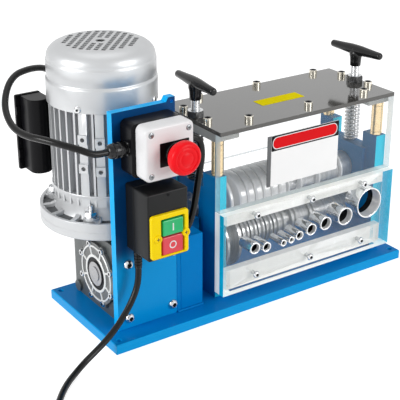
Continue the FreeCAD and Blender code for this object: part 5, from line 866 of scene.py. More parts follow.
@dataclass
class ControlBoxes:
    """The emergency stop and the switch on the front panel, with their glands."""

    panel_front: float = -55.0
    stop_low: Pair = (-187, 210)
    stop_high: Pair = (-125, 272)
    stop_base_wider: float = 4.5
    stop_front: float = -100.0
    stop_split: float = -80.0
    stop_corner: float = 7.0
    mushroom_middle: Pair = (-150.5, 239)
    legend_half: Pair = (18.5, 13.6)
    contacts_half: float = 13.0
    cover_screws: tuple[Pair, ...] = ((-179.5, 264), (-132, 264), (-179.8, 217), (-132.5, 217.5))
    switch_low: Pair = (-187, 117)
    switch_high: Pair = (-135, 197)
    switch_corner: float = 2.4
    switch_front: float = -102.0
    lid_screw: Pair = (-161, 193)
    window_low: Pair = (-172.5, 122.5)
    window_high: Pair = (-142, 166.5)
    yellow_low: Pair = (-185, 120)
    yellow_high: Pair = (-136.5, 172.5)
    yellow_proud: float = 4.0
    lugs: tuple[Pair, ...] = ((-177, 144.5), (-140.5, 144.5))
    key_sides: Pair = (-170.5, -144)
    key_mark_x: float = -157.2
    gland_places: tuple[Place, ...] = ((-187, -67.5, 242.5), (-125, -67.5, 238), (-168.5, 127.2, 210))
    relief_top: Place = (-182, -70.67, 117)
    relief_ribs: int = 5
    relief_pitch: float = 3.6

    def build(self) -> None:
        """Builds both boxes and all that is on them."""
        self.stop_box()
        self.mushroom()
        self.switch()
        self.buttons()
        self.glands()

    def stop_box(self) -> None:
        """The black base, the white cover, the legend plate and the cover's screws."""
        low, high, corner = self.stop_low, self.stop_high, self.stop_corner
        back, split, front = self.panel_front, self.stop_split, self.stop_front
        Piece("stop_box_base", BLACK, ("stop_base",)).settle(Shape().block(
            Axis.Y, (low[0] - self.stop_base_wider, low[1]), high, corner,
            [(back, 0.6), (back - 0.6, 0), (split + 1.2, 0), (split + 0.5, 0.7), (split, 0.7)]))
        Piece("stop_box_cover", WHITE, ("stop_cover",)).settle(Shape().block(
            Axis.Y, low, high, corner, [(split, 0.4), (split - 0.4, 0), (front + 3.2, 0), (front + 1.8, 0.35),
                                        (front + 0.8, 1.1), (front + 0.2, 2.2), (front, 3.6)]))
        (x, z), (wide, tall) = self.mushroom_middle, self.legend_half
        Piece("legend_plate", BLACK).settle(Shape().block(
            Axis.Y, (x - wide, z - tall), (x + wide, z + tall), 0.8,
            [(front + 0.3, 0), (front - 0.5, 0), (front - 0.7, 0.2)]))
        screws = Shape()
        for x, z in self.cover_screws:
            profile = [(0, 1), (3.4, 1), (3.4, -0.3), (2.8, -0.8), (1, -1), (0, -1)]
            # The dark cross is painted shade standing for the slot.
            screws.lathe(Axis.Y, (x, front, z), profile, 32).cross((x, front - 1.06, z), 2, 0.35, 0.46)
        Piece("stop_cover_screws", GREY_ZINC, second=BLACK_OXIDE_AND_RECESS_SHADE).settle(screws)

    def mushroom(self) -> None:
        """The red head, its stem, and the collar and contacts behind."""
        x, z = self.mushroom_middle
        centre = (x, 0, z)
        head = [(0, -111.5), (7.1, -111.5), (7.1, -110), (13.5, -110), (15.6, -110.5), (16.6, -112),
                (17.6, -114), (18.5, -115.2), (19, -116.6), (19, -121.4), (18.7, -122.9), (18, -124.2),
                (16.9, -125.2), (15.6, -125.8), (14.6, -126), (13.8, -125.7), (13.4, -125), (12.8, -124.9),
                (12.2, -125.3), (11.4, -125.6), (8.6, -125.5), (8.1, -125.1), (7.6, -125.1), (7.1, -125.5),
                (0, -125.4)]
        Piece("stop_mushroom_head", RED, ("stop_button",), crease=50, body="stop_mushroom").turned(
            Axis.Y, [centre], head, 72)
        stem = [(0, -117.6), (6.6, -117.6), (7, -117.2), (7, -78.4), (6.6, -78), (0, -78)]
        Piece("stop_plunger_stem", GLOSSY_BLACK, ("stop_stem",), body="stop_plunger").turned(
            Axis.Y, [centre], stem, 40)
        ring = [(7.3, -100), (12.5, -100), (12.5, -103.2), (11.9, -104), (9.4, -104), (8.9, -103.4),
                (7.3, -103.4)]
        half = self.contacts_half
        collar = Shape().lathe(Axis.Y, centre, ring, 56, joined=True)
        collar.slab((x - half, -73.4, z - half), (x + half, -57.6, z + half))
        Piece("stop_collar_and_contacts", GLOSSY_BLACK, ("stop_contacts",), 0.3).settle(collar)

    def switch(self) -> None:
        """The black switch box with its parting line, and the yellow frame with its lugs."""
        front = self.switch_front
        stops = [(self.panel_front, 0.5), (-55.6, 0), (-72, 0), (-72.3, 0.5), (-73.1, 0.5), (-73.4, 0),
                 (front + 1.6, 0), (front + 0.7, 0.3), (front + 0.15, 0.9), (front, 1.6)]
        Piece("switch_housing", CHARCOAL, ("switch_box",)).settle(
            Shape().block(Axis.Y, self.switch_low, self.switch_high, self.switch_corner, stops))
        centre = (self.lid_screw[0], front, self.lid_screw[1])
        hole = Shape().lathe(Axis.Y, centre, [(2.4, 0.4), (2.4, -0.25), (1.9, -0.25),
                                              (1.7, 0.4)], 32, joined=True)
        # The hole's floor takes black: painted shade.
        hole.coat = 1
        hole.lathe(Axis.Y, centre, [(0, -0.05), (1.8, -0.05), (1.8, 0.4), (0, 0.4)], 32)
        Piece("switch_lid_screw", CHARCOAL, second=BLACK).settle(hole)
        top = front - self.yellow_proud
        outer = [(rounded(self.yellow_low, self.yellow_high, 3.2, inset), y) for y, inset in
                 ((front, 0), (top + 1.2, 0), (top + 0.35, 0.35), (top, 1.2))]
        inner = [(rounded(self.window_low, self.window_high, 1.2, inset), y) for y, inset in
                 ((top, -0.7), (top + 0.7, 0), (front, 0))]
        band = Shape().loft(Axis.Y, outer + inner, joined=True)
        lug = [(0, 0), (5, 0), (5, -4.8), (4.6, -5.6), (3.6, -6), (2.9, -6), (2.6, -5.2), (0, -5.2)]
        for x, z in self.lugs:
            # Each lug has a dark cross of painted shade for its slot.
            band.lathe(Axis.Y, (x, front, z), lug, 40).cross((x, front - 5.35, z), 1.9, 0.4, 0.45)
        Piece("switch_yellow_frame", YELLOW, ("switch_frame",), second=BLACK_OXIDE_AND_RECESS_SHADE).settle(band)

    def buttons(self) -> None:
        """The green start key and the red stop key, with a bar and a ring on them."""
        left, right = self.key_sides
        keys = (("start", GREEN, "start_button", 146, 164.5, -106.5),
                ("stop", KEY_RED, "stop_switch_button", 122.8, 144, -105.7))
        for name, finish, node, low, high, front in keys:
            body = f"{name}_key"
            stops = [(-93, 0), (front + 1.4, 0), (front + 0.5, 0.3), (front, 1.1), (front, 2),
                     (front + 0.35, 2.6)]
            Piece(f"{name}_key_cap", finish, (node,), body=body).settle(
                Shape().block(Axis.Y, (left, low), (right, high), 1.2, stops))
            x, z = self.key_mark_x, (low + high) / 2
            if name == "start":
                mark = Shape().slab((x - 0.8, front, z - 4.4), (x + 0.8, front + 0.5, z + 4.4))
            else:
                ring = [(4.6, 0.2), (4.6, -0.35), (3.3, -0.35), (3.3, 0.2)]
                mark = Shape().lathe(Axis.Y, (x, front + 0.35, z), ring, 40, joined=True)
            Piece(f"{name}_key_mark", WHITE, bevel=0.12, body=body).settle(mark)

    def glands(self) -> None:
        """The ribbed cable glands and the cord's strain relief."""
        left, right, rear = self.gland_places
        turned = (
            (Axis.X, left, [(0, 0), (9.5, 0), (9.5, -0.8, 6), (9.5, -5.2, 6), (8.2, -6), (7.2, -6.4),
                            (7.2, -9.5), (0, -9.5)]),
            (Axis.X, left, [(0, -8), (8.2, -8), (8.8, -9), (8.8, -13.5), (8, -14.3), (8, -15.2), (8.8, -16),
                            (8.8, -19.5), (8, -20.4), (8, -21.2), (8.5, -22), (8.2, -24), (6.9, -26.4),
                            (5.2, -27.8), (4, -28), (0, -28)]),
            (Axis.X, right, [(0, -1), (7, -1), (7, 3.4, 6), (7, 5, 6), (6.4, 5.6), (6.6, 8), (5.8, 9.6),
                             (4.2, 10), (0, 10)]),
            (Axis.Z, rear, [(0, -1), (9, -1), (9, 0, 6), (9, 5, 6), (8.2, 5.8), (8.4, 15), (7.4, 19),
                            (5.4, 21.6), (4.1, 22), (0, 22)]))
        shape = Shape()
        for way, centre, profile in turned:
            shape.lathe(way, centre, profile)
        Piece("lead_glands", GLOSSY_BLACK, ("cable_glands",)).settle(shape)
        profile = [(0, 0.5), (5, 0.5)]
        for rib in range(self.relief_ribs):
            low = -1.0 - self.relief_pitch * rib
            reach = 5.0 - 0.12 * rib
            profile += [(reach, low), (reach, low - 2), (reach - 0.7, low - 2.3), (reach - 0.7, low - 3.2)]
        profile += [(4.35, -19.4), (4.1, -20), (0, -20)]
        Piece("cord_strain_relief", RUBBER, ("strain_relief",)).turned(Axis.Z, [self.relief_top], profile, 40)


@dataclass
class DriveUnit:
    """The gear motor: gearbox, flange, motor, fan cowl and capacitor."""

    motor_x: float = -156.5
    motor_y: float = 45.0
    shaft_y: float = 5.0
    shaft_z: float = 60.5
    cover_face: float = 39.0
    cover_circle: float = 37.5
    bolt_circle: float = 65.0
    flange_top: float = 139.0
    cowl_bottom: float = 264.0
    cowl_top: float = 331.0
    cowl_wall: float = 1.5
    cowl_radius: float = 65.0
    slot_pitch: float = 8.6
    slot_width: float = 5.4
    slot_rows: int = 10
    cell_pitch: float = 7.5
    cell_length: float = 6.0
    slot_circle: float = 44.0
    hub: float = 11.5
    slot_turn: float = -43.0
    first_cowl_screw: float = 35.6
    flange_ribs: int = 15
    first_rib: float = 185.0
    neck_low: float = 113.0
    groove_reach: float = 58.0
    pocket_floor: float = 132.5
    capacitor_low: Pair = (-239.7, 171)
    capacitor_high: Pair = (-207.2, 264)
    clip_levels: Pair = (186, 240)
    terminal_low: Pair = (-186.5, 150)
    terminal_high: Pair = (-126.5, 210)
    terminal_screw_in: float = 5.0

    def build(self) -> None:
        """Builds the unit from the foot up."""
        housing = Shape().take("gearbox_housing")
        housing.lathe(Axis.Z, self.middle(), [(60, 115.4), (79, 115), (80.2, 116.2), (80.2, 124.6),
                                              (60, 124.6)],
                      128, joined=True)
        housing.mark(lambda face: face.calc_center_median().z > self.neck_low)
        Piece("gear_housing", GEARBOX_GREY, ("gearbox_housing",), 1.2, 3, second=MOTOR_SILVER).settle(housing)
        self.flange()
        # The fin floors near the axis take a darker silver: painted shade.
        fins = Shape().take("motor_body").mark(lambda face: self.reach(face) < self.groove_reach)
        Piece("motor_finned_body", MOTOR_SILVER, ("motor_body",), 0.4, second=GROOVE_SHADE).settle(fins)
        Piece("capacitor_case", BLACK, ("capacitor_box",), 1.4, 3).soften()
        self.capacitor_cover()
        self.terminal_box()
        self.side_covers()
        self.screws()
        self.cowl()

    def middle(self, z: float = 0) -> Vector:
        """The point of the motor's axis at a height."""
        return Vector((self.motor_x, self.motor_y, z))

    def reach(self, face: bmesh.types.BMFace) -> float:
        """How far a face is from the motor's axis."""
        place = face.calc_center_median()
        return math.hypot(place.x - self.motor_x, place.y - self.motor_y)

    def flange(self) -> None:
        """The motor flange: rim, neck cone, ribs, bolt bosses, and pockets between them whose floors take a
        painted shade.
        """
        centre, floor = self.middle(), self.pocket_floor
        shape = Shape().lathe(Axis.Z, centre, [
            (54.3, 125), (80.2, 125), (80.2, 135.6), (79.6, 136.2), (76.6, 136.2), (76, 135.6), (75.6, floor),
            (65, floor), (63.4, 133.4), (62, 137), (61, 143), (61.4, 152), (63.6, 161), (64, 163),
            (63.5, 163.8), (54.3, 163.8)], 128, joined=True)
        # The pocket floors between the ribs take dark grey: painted shade.
        shape.mark(lambda face: self.reach(face) > 64.0 and 132.0 < face.calc_center_median().z < 135)
        for out, across in spokes(Axis.Z, self.flange_ribs, self.first_rib):
            shape.skin([[centre + out * reach + across * wide + Vector((0, 0, z))
                         for wide, z in ((3.6, 132), (3, top), (-3, top), (-3.6, 132))]
                        for reach, top in ((60, 139), (67, 136), (76.4, 135.6))])
        for out, _ in spokes(Axis.Z, 4, 45):
            shape.lathe(Axis.Z, centre + out * self.bolt_circle,
                        [(0, 129.9), (9.6, 129.9), (9.3, 138.6), (8.9, 139), (0, 139)], 40)
        Piece("motor_flange_casting", MOTOR_SILVER, ("motor_flange",), 0.3, second=SHADE_GREY).settle(shape)

    def side_covers(self) -> None:
        """The star-shaped side covers with their raised rings and webs, which take a pale painted highlight.
        """
        shape = Shape().take("gearbox_side_covers")
        shape.coat = 1
        for side in (-1, 1):
            way, face = self.side(side)
            for inner, outer, proud in ((20.6, 24, 1.6), (33.2, 35.6, 1.2)):
                ring = [(inner, -0.4), (inner, proud - 0.3), (inner + 0.3, proud), (outer - 0.5, proud),
                        (outer, proud - 0.5), (outer, -0.4)]
                shape.lathe(way, face, ring, 72, joined=True)
            for out, across in spokes(Axis.X, 8, 22.5):
                shape.skin([[face + out * reach + across * wide + way * proud
                             for wide, proud in ((1.4, -0.3), (1.1, 1.1), (-1.1, 1.1), (-1.4, -0.3))]
                            for reach in (23.5, 33.8)])
        Piece("gear_side_covers", STAR_GREY, ("gearbox_side_covers",), 0.5, second=LIT_STAR_RIBS).settle(shape)

    def side(self, side: int) -> tuple[Vector, Vector]:
        """The way outwards on one side of the gearbox, and the middle of its cover."""
        face = Vector((self.motor_x + side * self.cover_face, self.shaft_y, self.shaft_z))
        return Vector((side, 0, 0)), face

    def screws(self) -> None:
        """Side cover screws, cowl screws and the hexagon bolts of the flange."""
        shape = Shape()
        # The sockets of the cap and pan screws take black: painted shade.
        cap = [(0, -6), (2.2, -6), (2.2, 0), (3.8, 0), (3.8, 2), (3.4, 2.6), (2, 2.6, 6), (2, 1.1, 6), (0, 1)]
        for way, face in (self.side(-1), self.side(1)):
            for out, _ in spokes(Axis.X, 8, 22.5):
                shape.lathe(way, face + out * self.cover_circle, cap, 36, second=2)
        pan = [(0, -2), (2, -2), (2, 0.1), (4, 0.1), (4, 0.8), (3.4, 1.6), (2.2, 2), (1.6, 2), (1.4, 1.2),
               (0, 1.2)]
        for out, _ in spokes(Axis.Z, 4, self.first_cowl_screw):
            shape.lathe(out, self.middle(self.cowl_bottom + 4) + out * self.cowl_radius, pan, 36, second=2)
        Piece("cover_and_cowl_screws", ZINC, ("cover_screws",), second=BLACK_OXIDE_AND_RECESS_SHADE).settle(shape)
        bolt = [(0, -27), (4, -27), (4.5, -26.4), (4.5, 0), (8.4, 0), (8.4, 1.2), (8.1, 1.5), (6.6, 1.5),
                (8.2, 1.8, 6), (8.2, 6.4, 6), (6.9, 7.2), (2.8, 7.2), (2.8, 13.4), (2.2, 14.2), (0, 14.2)]
        places = [self.middle(self.flange_top) + out * self.bolt_circle for out, _ in spokes(Axis.Z, 4, 45)]
        Piece("flange_hex_bolts", ZINC, ("flange_bolts",)).turned(Axis.Z, places, bolt)

    def cowl(self) -> None:
        """The pressed fan cowl, its creases, and the punched cells of its top; its black inside is painted
        shade behind the cells.
        """
        wall, top = self.cowl_wall, self.cowl_top
        outer = [(65, 264), (65, 289), (64.9, 290.4), (64.1, 291.6), (63.3, 292.4), (63.2, 293.4),
                 (63.9, 294.6), (63.9, 311.4), (63.7, 312.6), (63, 313.3), (62.9, 314.2), (62.9, 316),
                 (62.3, 319), (61, 322), (58.6, 325), (55.3, 327.6), (51, 329.6), (46.8, 330.7), (44.6, top),
                 (0, top)]
        inner = [(0, top - wall), (44.6, top - wall), (50, 328), (54.6, 325.8), (58.4, 322.6), (60.6, 318),
                 (61.4, 313), (62.3, 311), (62.3, 295), (61.7, 292), (63.5, 289.4), (63.5, 264)]
        # The inside and the bottom rim take black: painted shade seen through the cells.
        shape = Shape().lathe(Axis.Z, self.middle(), [*outer, *inner], 144, joined=True, second=12)
        item = shape.item("fan_cowl_pressing")
        self.carve(item, self.cells().item("cowl_cutter"))
        piece = Piece("fan_cowl_pressing", COWL_SILVER, ("fan_cowl",), second=BLACK, crease=40)
        piece.shade(item)
        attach(item, "frame")

    def cells(self) -> Shape:
        """What is punched out of the cowl's top: rows of cells, and a hexagon in the middle."""
        cutter = Shape()
        wide, long = self.slot_width / 2, self.cell_length / 2
        for row in range(self.slot_rows):
            middle = (row - self.slot_rows // 2 + 0.5) * self.slot_pitch
            half = math.sqrt(self.slot_circle ** 2 - middle ** 2)
            count = int((2 * half + self.cell_pitch - self.cell_length) / self.cell_pitch)
            for cell in range(count):
                along = (cell - (count - 1) / 2) * self.cell_pitch
                if math.hypot(middle, along) >= self.hub:
                    x, y = self.motor_x + middle, self.motor_y + along
                    cutter.slab((x - wide, y - long, self.cowl_top - 3 * self.cowl_wall),
                                (x + wide, y + long, self.cowl_top + self.cowl_wall))
        cutter.lathe(Axis.Z, self.middle(), [(0, 325), (6.2, 325, 6), (6.2, 335, 6), (0, 335)], 36)
        return cutter.turn(self.middle(), self.slot_turn)

    def carve(self, item: bpy.types.Object, tool: bpy.types.Object) -> None:
        """Takes a tool's shape out of a piece and throws the tool away."""
        modifier = item.modifiers.new("cells", "BOOLEAN")
        modifier.operation = "DIFFERENCE"
        modifier.object = tool
        modifier.solver = "EXACT"
        bpy.context.view_layer.update()
        graph = bpy.context.evaluated_depsgraph_get()
        carved = bpy.data.meshes.new_from_object(item.evaluated_get(graph))
        item.modifiers.clear()
        item.data = carved
        bpy.data.objects.remove(tool)

    def capacitor_cover(self) -> None:
        """The capacitor's flat rear cover, with a raised rim and two clips."""
        shape = Shape().block(Axis.Y, self.capacitor_low, self.capacitor_high, 2, [
            (105, 0.4), (105.4, 0), (108.4, 0), (109, 0.6), (109, 2.2), (108.4, 2.6)])
        for low in self.clip_levels:
            shape.slab((-239.6, 103.6, low), (-233.9, 105.2, low + 10))
        Piece("capacitor_rear_cover", BLACK, ("capacitor_cover",), 0.3).settle(shape)

    def terminal_box(self) -> None:
        """The terminal box behind the motor: a body, a lid with a lip, and its screws."""
        low, high, inwards = self.terminal_low, self.terminal_high, self.terminal_screw_in
        shape = Shape().block(Axis.Y, low, high, 4, [
            (108.2, 0.8), (138, 0), (138.3, 0.8), (139, 0.8), (139.3, 0), (144.6, 0), (145.7, 0.5),
            (146.2, 1.6)])
        shape.coat = 1
        for x in (low[0] + inwards, high[0] - inwards):
            for z in (low[1] + inwards, high[1] - inwards):
                shape.lathe(Axis.Y, (x, 145, z), [(0, 0), (2.8, 0), (2.8, 0.8), (2, 1.2), (0, 1.2)], 28)
        Piece("terminal_box_body", MOTOR_SILVER, ("terminal_box",), second=ZINC).settle(shape)


@dataclass
class RollerFrame:
    """The end plates, pillars, cross bars, top plate, guards and all that is screwed to them."""

    left_x: float = -53.0
    right_x: float = 200.0
    shaft_y: float = 5.0
    pillar_y: Pair = (-42, 52)
    top_z: float = 231.0
    guard_front: float = -61.0
    lower_front: float = -69.0
    panel_front: float = -55.0
    cover_left: float = -62.5
    cover_right: float = 209.5
    plate_half: float = 7.0
    flush: float = 2.2
    rail_ends: float = 8.0
    rail_reach: Pair = (-6, 5.5)
    rail_foot: float = 33.0
    foot_drop: float = 8.0
    guard_levels: tuple[float, ...] = (20.5, 128, 128.5, 139, 226)
    coupling_left: float = -114.5
    coupling_step: float = -83.0
    coupling_back: float = 62.0
    coupling_set_back: float = -18.0
    coupling_low: float = 12.0
    coupling_high: float = 108.5
    coupling_flange: float = -120.2
    lit_share: float = 0.36
    sleeve_front: float = -75.0
    sleeve_back: float = -51.0
    sleeves: tuple[Place, ...] = (
        (-19, 77.3, 12), (-1.1, 74.1, 10), (25.3, 72.4, 6), (37.8, 73.2, 6), (50.4, 76, 9),
        (69.4, 79.3, 13), (92.9, 81.5, 15), (125.2, 83.1, 21), (165.5, 92.1, 38))
    top_screw_places: tuple[Pair, ...] = (
        (-8, -42), (83, -42), (174, -42), (-11.5, 59), (79, 59), (174, 59),
        (-53, -21), (-53, 31), (200, -21), (200, 31))
    guard_screw_columns: tuple[float, ...] = (-12.5, 73.5, 159.5)
    guard_screw_rows: tuple[float, ...] = (118, 37.5)
    panel_screw_places: tuple[Pair, ...] = ((-186.5, 25.5), (-126.5, 25.5), (-186.5, 95.5), (-126.5, 95.5))
    sign_low: Pair = (11.5, 147)
    sign_high: Pair = (117, 212)
    shade_strip_left: float = 6.0
    bar_low: Pair = (14, 195)
    bar_high: Pair = (113.5, 209)
    header_low: Pair = (11.7, 192.2)
    header_high: Pair = (116.8, 211.8)
    strip_low: Pair = (37, -10)
    strip_high: Pair = (103, 10)

    def build(self) -> None:
        """Builds the frame from the base up."""
        up = Vector((0, 0, 1))
        # The top faces take the darker blue: painted shade.
        Piece("base_slab", BLUE, ("base_plate",), 1.4, 3, second=SHADED_BLUE).soften(up)
        # The panel takes the lighter blue of painted light, and its front faces the deep painted shade.
        Piece("front_panel", LIT_BLUE, ("control_panel",), 1, 3, second=DEEP_SHADE_BLUE).soften(AHEAD)
        self.coupling_cover()
        self.end_plates()
        Piece("bar_caps", BAR_METAL, ("cross_bars",), 1, 3).soften()
        Piece("top_cover_plate", BLACK_PLATE, ("top_plate",), 0.6, 3).soften()
        self.rails()
        Piece("slide_blocks", FRAME_BLUE, ("bearing_blocks",), 1, 3, body="carriage").soften()
        self.pillars()
        self.guards()
        self.sleeve_row()
        self.screws()
        self.labels()

    def rails(self) -> None:
        """The guard bars, reaching further at their ends, the lower one also deeper, in a metal with a
        painted glow.
        """
        rails = Shape().take("guard_bars")
        for vertex in rails.mesh.verts:
            for end, reach in zip((self.left_x, self.right_x), self.rail_reach):
                if abs(vertex.co.x - end) < self.rail_ends:
                    vertex.co.x += reach
            if vertex.co.z < self.rail_foot:
                vertex.co.z -= self.foot_drop
        Piece("guard_rails", GLOWING_RAIL_METAL, ("guard_bars",), 0.6).settle(rails)

    def end_plates(self) -> None:
        """The end plates, flush with the clear guards, whose front faces take a lighter blue, a painted
        highlight that shows through them.
        """
        nodes = ("left_end_plate", "right_end_plate")
        plates = Shape().take(*nodes)
        for vertex in plates.mesh.verts:
            for side, wall in ((-1, self.left_x - self.plate_half), (1, self.right_x + self.plate_half)):
                if abs(vertex.co.x - wall) < 0.2:
                    vertex.co.x += side * self.flush
        # The front faces take the lighter frame blue: painted light.
        plates.mark(lambda face: face.normal.dot(AHEAD) > SQUARE_ON)
        Piece("end_plates", FRAME_BLUE, nodes, 1, 3, second=LIT_FRAME_BLUE).settle(plates)

    def coupling_cover(self) -> None:
        """The bent cover over the coupling, set back beside the frame, with its foot and flange."""
        left, step, right = self.coupling_left, self.coupling_step, self.cover_left - 0.3
        front, inner, back = self.panel_front, self.coupling_set_back, self.coupling_back
        low, high = self.coupling_low, self.coupling_high
        outline = [(left, front), (step, front), (step, inner), (right, inner), (right, back), (left, back)]
        shape = Shape().loft(Axis.Z, [(outline, low), (outline, high)])
        shape.slab((self.coupling_flange, front, low), (left, front + 3, high))
        shape.slab((self.coupling_flange, front - 3, low), (step, front, low + 2.5))
        # The whole cover takes the darker blue of painted shade; the front faces of its set-back part take
        # the deep painted shade.
        shape.mark(lambda face: face.normal.y < -0.9 and face.calc_center_median().y > inner - 2)
        Piece("coupling_cover", SHADED_BLUE, ("coupling_guard",), 0.8, 3, second=DEEP_SHADE_BLUE).settle(shape)

    def pillars(self) -> None:
        """Four turned pillars with a groove near each end."""
        profile = [(0, 171), (7, 171), (7.5, 171.5), (7.5, 175), (7.1, 175.4), (7.1, 176.2), (7.5, 176.6),
                   (7.5, 210.4), (7.1, 210.8), (7.1, 211.6), (7.5, 212), (7.5, 215.5), (7, 216), (0, 216)]
        places = [(x, y, 0) for x in (self.left_x, self.right_x) for y in self.pillar_y]
        Piece("brass_pillars", BRASS, ("frame_pillars",)).turned(Axis.Z, places, profile, 56)

    def guards(self) -> None:
        """The clear guards, whose outer edges take a painted glow and whose faces hardly show, and glowing
        strips at their ends.
        """
        for name, node, edge in (("upper_clear_guards", "upper_guards", TINTED_GLOW_EDGE),
                                 ("lower_clear_guard", "lower_guard", PALE_GLOW_EDGE)):
            Piece(name, CLEAR, (node,), second=edge).settle(Shape().take(node).mark(self.outer_edge))
        left, right = self.cover_left, self.cover_right
        # Thin strips at the guards' ends: an azure painted glow for the end plates' blue seen through them.
        glow = Shape().slab((left - 0.15, self.lower_front, 20.6), (left + 0.1, self.guard_front, 128))
        glow.slab((right - 0.5, self.lower_front + 0.4, 21), (right - 0.25, -51.2, 127.6))
        Piece("guard_painted_glow_strips", AZURE_GLOW).settle(glow)

    def outer_edge(self, face: bmesh.types.BMFace) -> bool:
        """Whether a face is an outer edge of a clear sheet, and not the wall of a hole."""
        place = face.calc_center_median()
        if min(abs(place.x - self.cover_left), abs(place.x - self.cover_right)) < 0.1:
            return True
        return abs(face.normal.z) > 0.9 and min(abs(place.z - z) for z in self.guard_levels) < 0.1

    def sleeve_row(self) -> None:
        """The nine chromed tubes through the lower guard, and inner sleeves painted with light near the mouth
        and shade deeper in.
        """
        tubes, bore_light_and_shade = Shape(), Shape()
        front, back = self.sleeve_front, self.sleeve_back
        for x, z, bore in self.sleeves:
            inner = bore / 2
            outer = inner + 1.5
            tubes.lathe(Axis.Y, (x, 0, z), [
                (inner + 0.5, front), (outer - 0.5, front), (outer - 0.1, front + 0.2), (outer, front + 0.6),
                (outer, back), (inner, back), (inner, front + 0.6), (inner + 0.1, front + 0.2)],
                64, joined=True)
            # Inner sleeves: near-white painted light from the mouth to the knee, black painted shade deeper
            # in.
            inner += 0.02
            knee = min(front + 0.8 + self.lit_share * bore, back - 1)
            bore_light_and_shade.lathe(Axis.Y, (x, 0, z), [
                (inner, back - 0.2), (inner, front + 0.8), (inner - 0.25, front + 0.8), (inner - 0.25, knee),
                (inner - 0.25, back - 0.2)], 64, joined=True, second=2)
        Piece("chromed_sleeves", CHROME, ("cable_sleeves",)).settle(tubes)
        Piece("sleeve_painted_light_and_shade", LIT_BORE, second=BLACK).settle(bore_light_and_shade)

    def screws(self) -> None:
        """Cap screws in the top plate, dome screws in the guard and the panel, and the screws' nuts."""
        cap = [(0, -5), (3, -5), (3, 0), (5.3, 0), (5.3, 5.2), (4.7, 5.8), (3.3, 5.6, 6), (3.1, 1.2, 6),
               (0, 1.2)]
        # The inner part of each head's top and its socket take black: painted shade and a painted dark
        # reflection.
        Piece("top_cap_screws", PALE_ZINC, ("top_screws",), second=BLACK_OXIDE_AND_RECESS_SHADE).turned(
            Axis.Z, [(x, y, self.top_z) for x, y in self.top_screw_places], cap, second=3)
        small = [(0, -14), (2.4, -14), (2.4, 0), (4.6, 0), (4.6, 0.7), (4.2, 1.7), (3.5, 2.5), (3, 2.8),
                 (2.3, 2.9, 6), (2.2, 1, 6), (0, 0.9)]
        large = [(0, -20), (4, -20), (4, 0), (6, 0), (6, 1), (5.5, 2.5), (4.5, 3.7), (3.6, 4.4),
                 (2.9, 4.4, 6), (2.7, 1.6, 6), (0, 1.5)]
        # The dome screws' sockets take black: painted shade.
        domes = Shape()
        for x in self.guard_screw_columns:
            for z in self.guard_screw_rows:
                domes.lathe(AHEAD, (x, self.lower_front, z), small, second=2)
        for x, z in self.panel_screw_places:
            domes.lathe(AHEAD, (x, self.panel_front, z), large, second=2)
        Piece("dome_screws", ZINC, ("button_screws",), second=BLACK_OXIDE_AND_RECESS_SHADE).settle(domes)
        # The top face and the bore take zinc: on the top face it is a painted highlight.
        nut = [(5.6, 0), (10, 0), (10.97, 0.6, 6), (10.97, 6.9, 6), (9.4, 8), (6.1, 8), (5.6, 7.4)]
        places = [(x, self.shaft_y, self.top_z) for x in (self.left_x, self.right_x)]
        Piece("lift_nuts", BLACK_OXIDE_AND_RECESS_SHADE, ("handle_nuts",), second=ZINC).turned(
            Axis.Z, places, nut, joined=True, second=3)

    def labels(self) -> None:
        """The blank sign plate on the guard with a grey strip of painted shade at its left, and the bare
        yellow strip on the top plate.
        """
        front, low, high = self.guard_front, self.sign_low, self.sign_high
        Piece("blank_sign_plate", SIGN_WHITE, crease=30).settle(
            Shape().block(Axis.Y, low, high, 1.5, [(front, 0), (front - 0.8, 0), (front - 1, 0.2)]))
        # A grey strip of painted shade beside the sign's left edge.
        Piece("sign_painted_shade", SHADE_GREY).settle(
            Shape().slab((self.shade_strip_left, front - 0.8, low[1]), (low[0], front, high[1])))
        Piece("sign_header", BLACK).settle(Shape().block(
            Axis.Y, self.header_low, self.header_high, 1.3, [(front - 1, 0), (front - 1.15, 0)]))
        low, high = self.bar_low, self.bar_high
        bar = Shape().block(Axis.Y, low, high, 6.4, [(front - 1.1, 0), (front - 1.25, 0)])
        bar.coat = 1
        outer = rounded((low[0] - 1, low[1] - 1), (high[0] + 1, high[1] + 1), 7.2)
        inner = rounded(low, high, 6.4)
        back, proud = front - 1.1, front - 1.3
        bar.loft(Axis.Y, [(outer, back), (outer, proud), (inner, proud), (inner, back)], joined=True)
        Piece("sign_bar", SIGN_RED, second=WHITE).settle(bar)
        Piece("yellow_strip", STRIP_YELLOW).settle(Shape().block(
            Axis.Z, self.strip_low, self.strip_high, 1, [(self.top_z, 0), (self.top_z + 0.3, 0)]))


